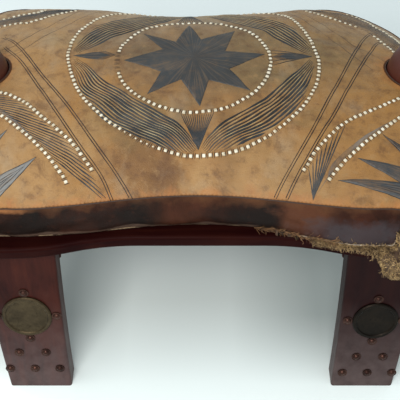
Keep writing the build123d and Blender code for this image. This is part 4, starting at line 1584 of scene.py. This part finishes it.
def inkFinish(name, ink, worn, streaked, least):
    made, tree, shader, coords = begin(name, IOR=1.45)
    leather = topLeatherTones(tree, coords, nearSeam=False)
    rubbed = noiseOf(tree, coords, 95.0, 5, 0.7)
    wide = noiseOf(tree, coords, 21.0, 3)
    share = sums(tree, "ADD", sums(tree, "MULTIPLY", rubbed, 0.6), sums(tree, "MULTIPLY", wide, 0.5))
    share = ranged(tree, share, 0.54, 0.72, least, worn)
    second = ink if ink == "brown" else "blue"
    tone = mixed(tree, ranged(tree, wide, 0.4, 0.65), inkTones[ink], inkTones[second])
    if ink == "points":
        place = addNode(tree, "SeparateXYZ", {"Vector": coords}).outputs
        tone = mixed(tree, ranged(tree, place["X"], 0.1, -0.2, 0.0, 0.6), tone, (0.27, 0.27, 0.26))
    if streaked:
        where = addNode(tree, "Attribute", attribute_name="streak").outputs["Vector"]
        streaks = noiseOf(tree, where, 1.0, 3, 0.5)
        lighter = mixed(tree, 0.35, inkTones["blue"], leather)
        tone = mixed(tree, ranged(tree, streaks, 0.50, 0.60, 0.0, 0.7), tone, lighter)
        relief = bumped(tree, streaks, 0.0006, 0.5)
    tone = mixed(tree, share, tone, leather)
    plug(tree, shader, Base_Color=tone, Roughness=ranged(tree, rubbed, 0.3, 0.7, 0.4, 0.6))
    if streaked:
        plug(tree, shader, Normal=relief)
    return made


def ridgeFinish():
    made, tree, shader, coords = begin("leatherRidges", Roughness=0.42)
    leather = topLeatherTones(tree, coords, nearSeam=False)
    cloud = noiseOf(tree, coords, 80.0, 3)
    # the pale tone of the raised ridges is partly the leather's own and partly a painted highlight where they
    # catch the light
    tone = mixed(tree, ranged(tree, cloud, 0.38, 0.62, 0.1, 0.75), leather, (0.40, 0.32, 0.16))
    plug(tree, shader, Base_Color=tone)
    return made


def stitchModel():
    # one pillow-shaped stitch of thong, lying along x
    bpy.ops.object.select_all(action="DESELECT")
    bpy.ops.mesh.primitive_cube_add(size=1)
    stitch = bpy.context.object
    stitch.scale = (lacing["length"] / 1000, lacing["width"] / 1000, 2 * lacing["height"] / 1000)
    bpy.ops.object.transform_apply(scale=True)
    bpy.ops.object.mode_set(mode="EDIT")
    bpy.ops.mesh.select_all(action="SELECT")
    bpy.ops.mesh.bevel(offset=lacing["height"] * lacing["bevel"] / 1000, segments=2)
    bpy.ops.object.mode_set(mode="OBJECT")
    points = meshPoints(stitch)
    faces = [tuple(f.vertices) for f in stitch.data.polygons]
    bpy.data.objects.remove(stitch)
    return points, faces


def laceRun(line, pitch):
    # share, place and heading at one pitch along a line
    line = np.array(line, float)
    runs = np.r_[0, np.cumsum(np.linalg.norm(np.diff(line, axis=0), axis=1))]
    count = max(2, round(runs[-1] / pitch))
    for k in range(count):
        run = (k + 0.5) * runs[-1] / count
        i = min(np.searchsorted(runs, run), len(line) - 1)
        t = (run - runs[i - 1]) / (runs[i] - runs[i - 1])
        yield (k + 0.5) / count, line[i - 1] + (line[i] - line[i - 1]) * t, line[i] - line[i - 1]


def lace(name, tree, line, stitch, finish, slits, dice, bare=(0, 0)):
    model, modelFaces = stitch
    points, faces = [], []
    for share, place, heading in laceRun(line, lacing["pitch"]):
        heading = heading / np.linalg.norm(heading)
        side = leftOf(heading)
        aside, along = dice.uniform(-1, 1) * lacing["jitter"], dice.uniform(-1, 1) * lacing["shift"]
        place = place + aside * side + along * heading
        reach, lean = side * lacing["slitLength"] / 2, heading * lacing["lean"]
        for away in (-1, 1):
            middle = place + heading * away * lacing["slitAway"]
            ends = middle - reach - lean, middle + reach + lean
            slits.add([ends[0], middle, ends[1]], lacing["slitWidth"], drawing["lowLift"], 0.5)
        found, ahead = onTop(tree, *place), onTop(tree, *(place + heading * 1.5))
        if bare[0] < share < bare[1] or not found or not ahead:
            continue
        normal = found[1]
        along = (ahead[0] - found[0]).normalized()
        across = normal.cross(along).normalized()
        along = across.cross(normal)
        size = 1 + dice.uniform(*lacing["sizes"])
        if name == "laceOuter" and lacing["worn"][0] < share < lacing["worn"][1]:
            size *= lacing["wornSize"]
        first = len(points)
        sink = -lacing["sunk"] + dice.uniform(-lacing["uneven"], lacing["uneven"])
        for x, y, z in model:
            points.append(found[0] + along * x * size + across * y * size + normal * (z * size + sink))
        faces += [[first + i for i in face] for face in modelFaces]
    made = newObject(name, points, faces, finish)
    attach(made, "cushion")
    return made


def ringLine(centre, reach):
    return [polar(centre, a, reach) for a in np.linspace(-90, 270, 181)]


def layFillings(tree, inks):
    inlay("inkStar", tree, [(starLoop(), drawing["centre"])], inks["inkFilled"])
    solid, fading = [], []
    for *leaf, share, lines in drawing["wedges"]:
        solid.append((wedgeLoop(*leaf, share), polar(drawing["outerCentre"], *leaf[:2])))
        if lines < 6:
            fading.append((wedgeLoop(*leaf, drawing["fadingSolid"]), drawing["centre"]))
    inlay("inkWedges", tree, solid, inks["inkFilled"])
    inlay("inkFading", tree, fading, inks["inkFaint"], drawing["lowLift"])
    sharp, filled = [], []
    for corner in corners.values():
        for tip, root, width in corner["points"]:
            tip, root = np.array(tip, float), np.array(root, float)
            side = leftOf((root - tip) / np.linalg.norm(root - tip)) * width / 2
            sharp.append((closedRun([tuple(tip), tuple(root + side), tuple(root - side)]), tuple(root)))
        filled.append((slateLoop(corner), corner["fanFrom"]))
    inlay("inkCornerPoints", tree, sharp, inks["inkPoints"])
    inlay("inkFanRoots", tree, filled, inks["inkSlate"], drawing["lowLift"])


def layBands(tree, dice, inks):
    # the bands of strokes and the wedges' lines; the pale ridges between the strokes are handed back
    bands, ridges = Strokes(tree), Strokes(tree)
    for band in drawing["bands"]:
        for line in bandLines(band, 0, band["lines"]):
            width = lineWidthAt(dice.random()) * band["width"]
            bands.add(line, width, taper=0.1, wobble=0.7, seed=dice.random() * 9, grow=band["grow"])
        for line in bandLines(band, 0.5, band["lines"] - 1):
            ridges.add(line, 0.8, 0.0003, 0.2, 1.6, dice.random() * 9)
    for angle, tip, half, _, lines in drawing["wedges"]:
        end = polar(drawing["outerCentre"], angle, tip)
        for share in np.linspace(-1, 1, lines):
            start = polar(drawing["centre"], angle + half * share, drawing["innerRing"] + 4)
            bands.add(curved([start, end]), 1.6, 0.00024, 0.4)
    bands.piece("inkBands", inks["inkLines"])
    return ridges


def layFans(tree, dice, inks):
    fans = Strokes(tree)
    for corner in corners.values():
        for line in fanLines(corner):
            width = lineWidthAt(dice.random()) * 1.75
            fans.add(line, width, wobble=0.5, seed=dice.random() * 9, grow=(1.0, 1.1))
        for tip, root, width in corner["points"]:
            ahead = np.array(root, float) - tip
            side = leftOf(ahead) * width / 2 / np.linalg.norm(ahead)
            for aside in drawing["pointLines"]:
                start = tuple(np.array(tip) + (1 - abs(aside)) * 0.35 * ahead)
                line = straightRun(start, tuple(root + side * aside))
                fans.add(line, 1.1, 0.0003, 0.3, 0.6, dice.random() * 9)
    fans.piece("inkFans", inks["inkLines"])


def layTooling(tree, dice, inks, ridges):
    tooled, faint = Strokes(tree), Strokes(tree)
    for middle in drawing["tooled"]:
        for line in pairLines(middle, drawing["pairGap"]):
            tooled.add(line, drawing["lineWidth"] * 1.7, taper=0.7, wobble=0.3, seed=dice.random() * 9)
    tooled.piece("tooledLines", inks["inkTooled"])
    ridges.piece("paleRidges", ridgeFinish())
    for middle in drawing["faint"]:
        faint.add(curved(middle, 4.0), 1.8, 0.0001, 0.7)
    faint.piece("faintLines", inks["inkFaint"])


def layLacing(tree, dice, inks):
    stitch, thong, slits = stitchModel(), thongFinish(), Strokes(tree)
    rings = (("laceInner", ringLine(drawing["centre"], drawing["innerRing"])),
             ("laceOuter", closedCurve(drawing["outerPlaces"])))
    for name, line in rings:
        lace(name, tree, line, stitch, thong, slits, dice, lacing["missing"][name])
    for title, corner in corners.items():
        for side in ("upper", "lower"):
            name = "lace" + title[0].upper() + title[1:] + side.capitalize()
            bare = corner.get(side + "Gap", (0, 0))
            lace(name, tree, curved(corner[side]), stitch, thong, slits, dice, bare)
    slits.piece("laceSlits", inks["inkTooled"])


def makeDrawing(top):
    tree, dice = surfaceTree(top), random.Random(lacing["seed"])
    inks = {name: inkFinish(name, *look) for name, look in inkLooks.items()}
    layFillings(tree, inks)
    ridges = layBands(tree, dice, inks)
    layFans(tree, dice, inks)
    layTooling(tree, dice, inks, ridges)
    layLacing(tree, dice, inks)
    print("drawing and lacing laid")


def thongFinish():
    made, tree, shader, coords = begin("thong", Roughness=0.45)
    cloud = noiseOf(tree, coords, 160.0, 4, 0.65)
    tone = ramp(tree, cloud, [(0.28, (0.26, 0.20, 0.12)), (0.45, (0.56, 0.50, 0.36)),
                              (0.6, (0.72, 0.69, 0.57))])
    plug(tree, shader, Base_Color=tone, Normal=bumped(tree, noiseOf(tree, coords, 1400.0, 2), 0.0001, 0.4))
    return made


# wood and metal of the frame's pieces
def finishFrame():
    alongX = woodFinish("woodAlongX", 0, dark=0.75, sheen=0.02)
    alongY = woodFinish("woodAlongY", 1, dark=0.35)
    frontLeg, rearLeg = woodFinish("woodFrontLeg", 2, -0.22, 0.3), woodFinish("woodRearLeg", 2, 0.22, 0.3)
    # the front right leg: a darker copy of the front legs' wood, painted shade for the side that gets less
    # light
    shadedRightLeg = woodFinish("woodShadedRightLeg", 2, -0.22, 0.85)
    turned = woodFinish("woodTurned", 2, dark=-0.8, sheen=0.5)
    brass, steel = metalFinish("brassAged", "brass", 0.42), metalFinish("steelPlain", "steel", 0.5)
    # the front right disc gets the darker brass: painted shade for the side that gets less light
    shadedDisc, bronze = metalFinish("brassShadedCopy", "brassInShade", 0.38), metalFinish("bronzeStuds", "bronze", 0.34)
    # the first start of a node's name decides
    finishes = {
        "leg_front_right": shadedRightLeg, "leg_front": frontLeg, "leg_rear": rearLeg,
        "rail_screws": steel, "slat_nails": steel, "rail": alongX,
        "yoke": alongY, "seat_slat": alongY, "pommel": turned, "leg_dowels": turned,
        "disc_front_right": shadedDisc, "disc": brass, "studs": bronze,
    }
    for name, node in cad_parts.items():
        for slot in node.material_slots:
            fitting = [made for start, made in finishes.items() if name.startswith(start)]
            if fitting:
                slot.material = fitting[0]


makeCamera()
makeStage()
finishFrame()
top, filling, edge, flap = makeCushion()
makeDrawing(top)
makeStraw(filling, edge, flap)
makeTornEdge(edge)
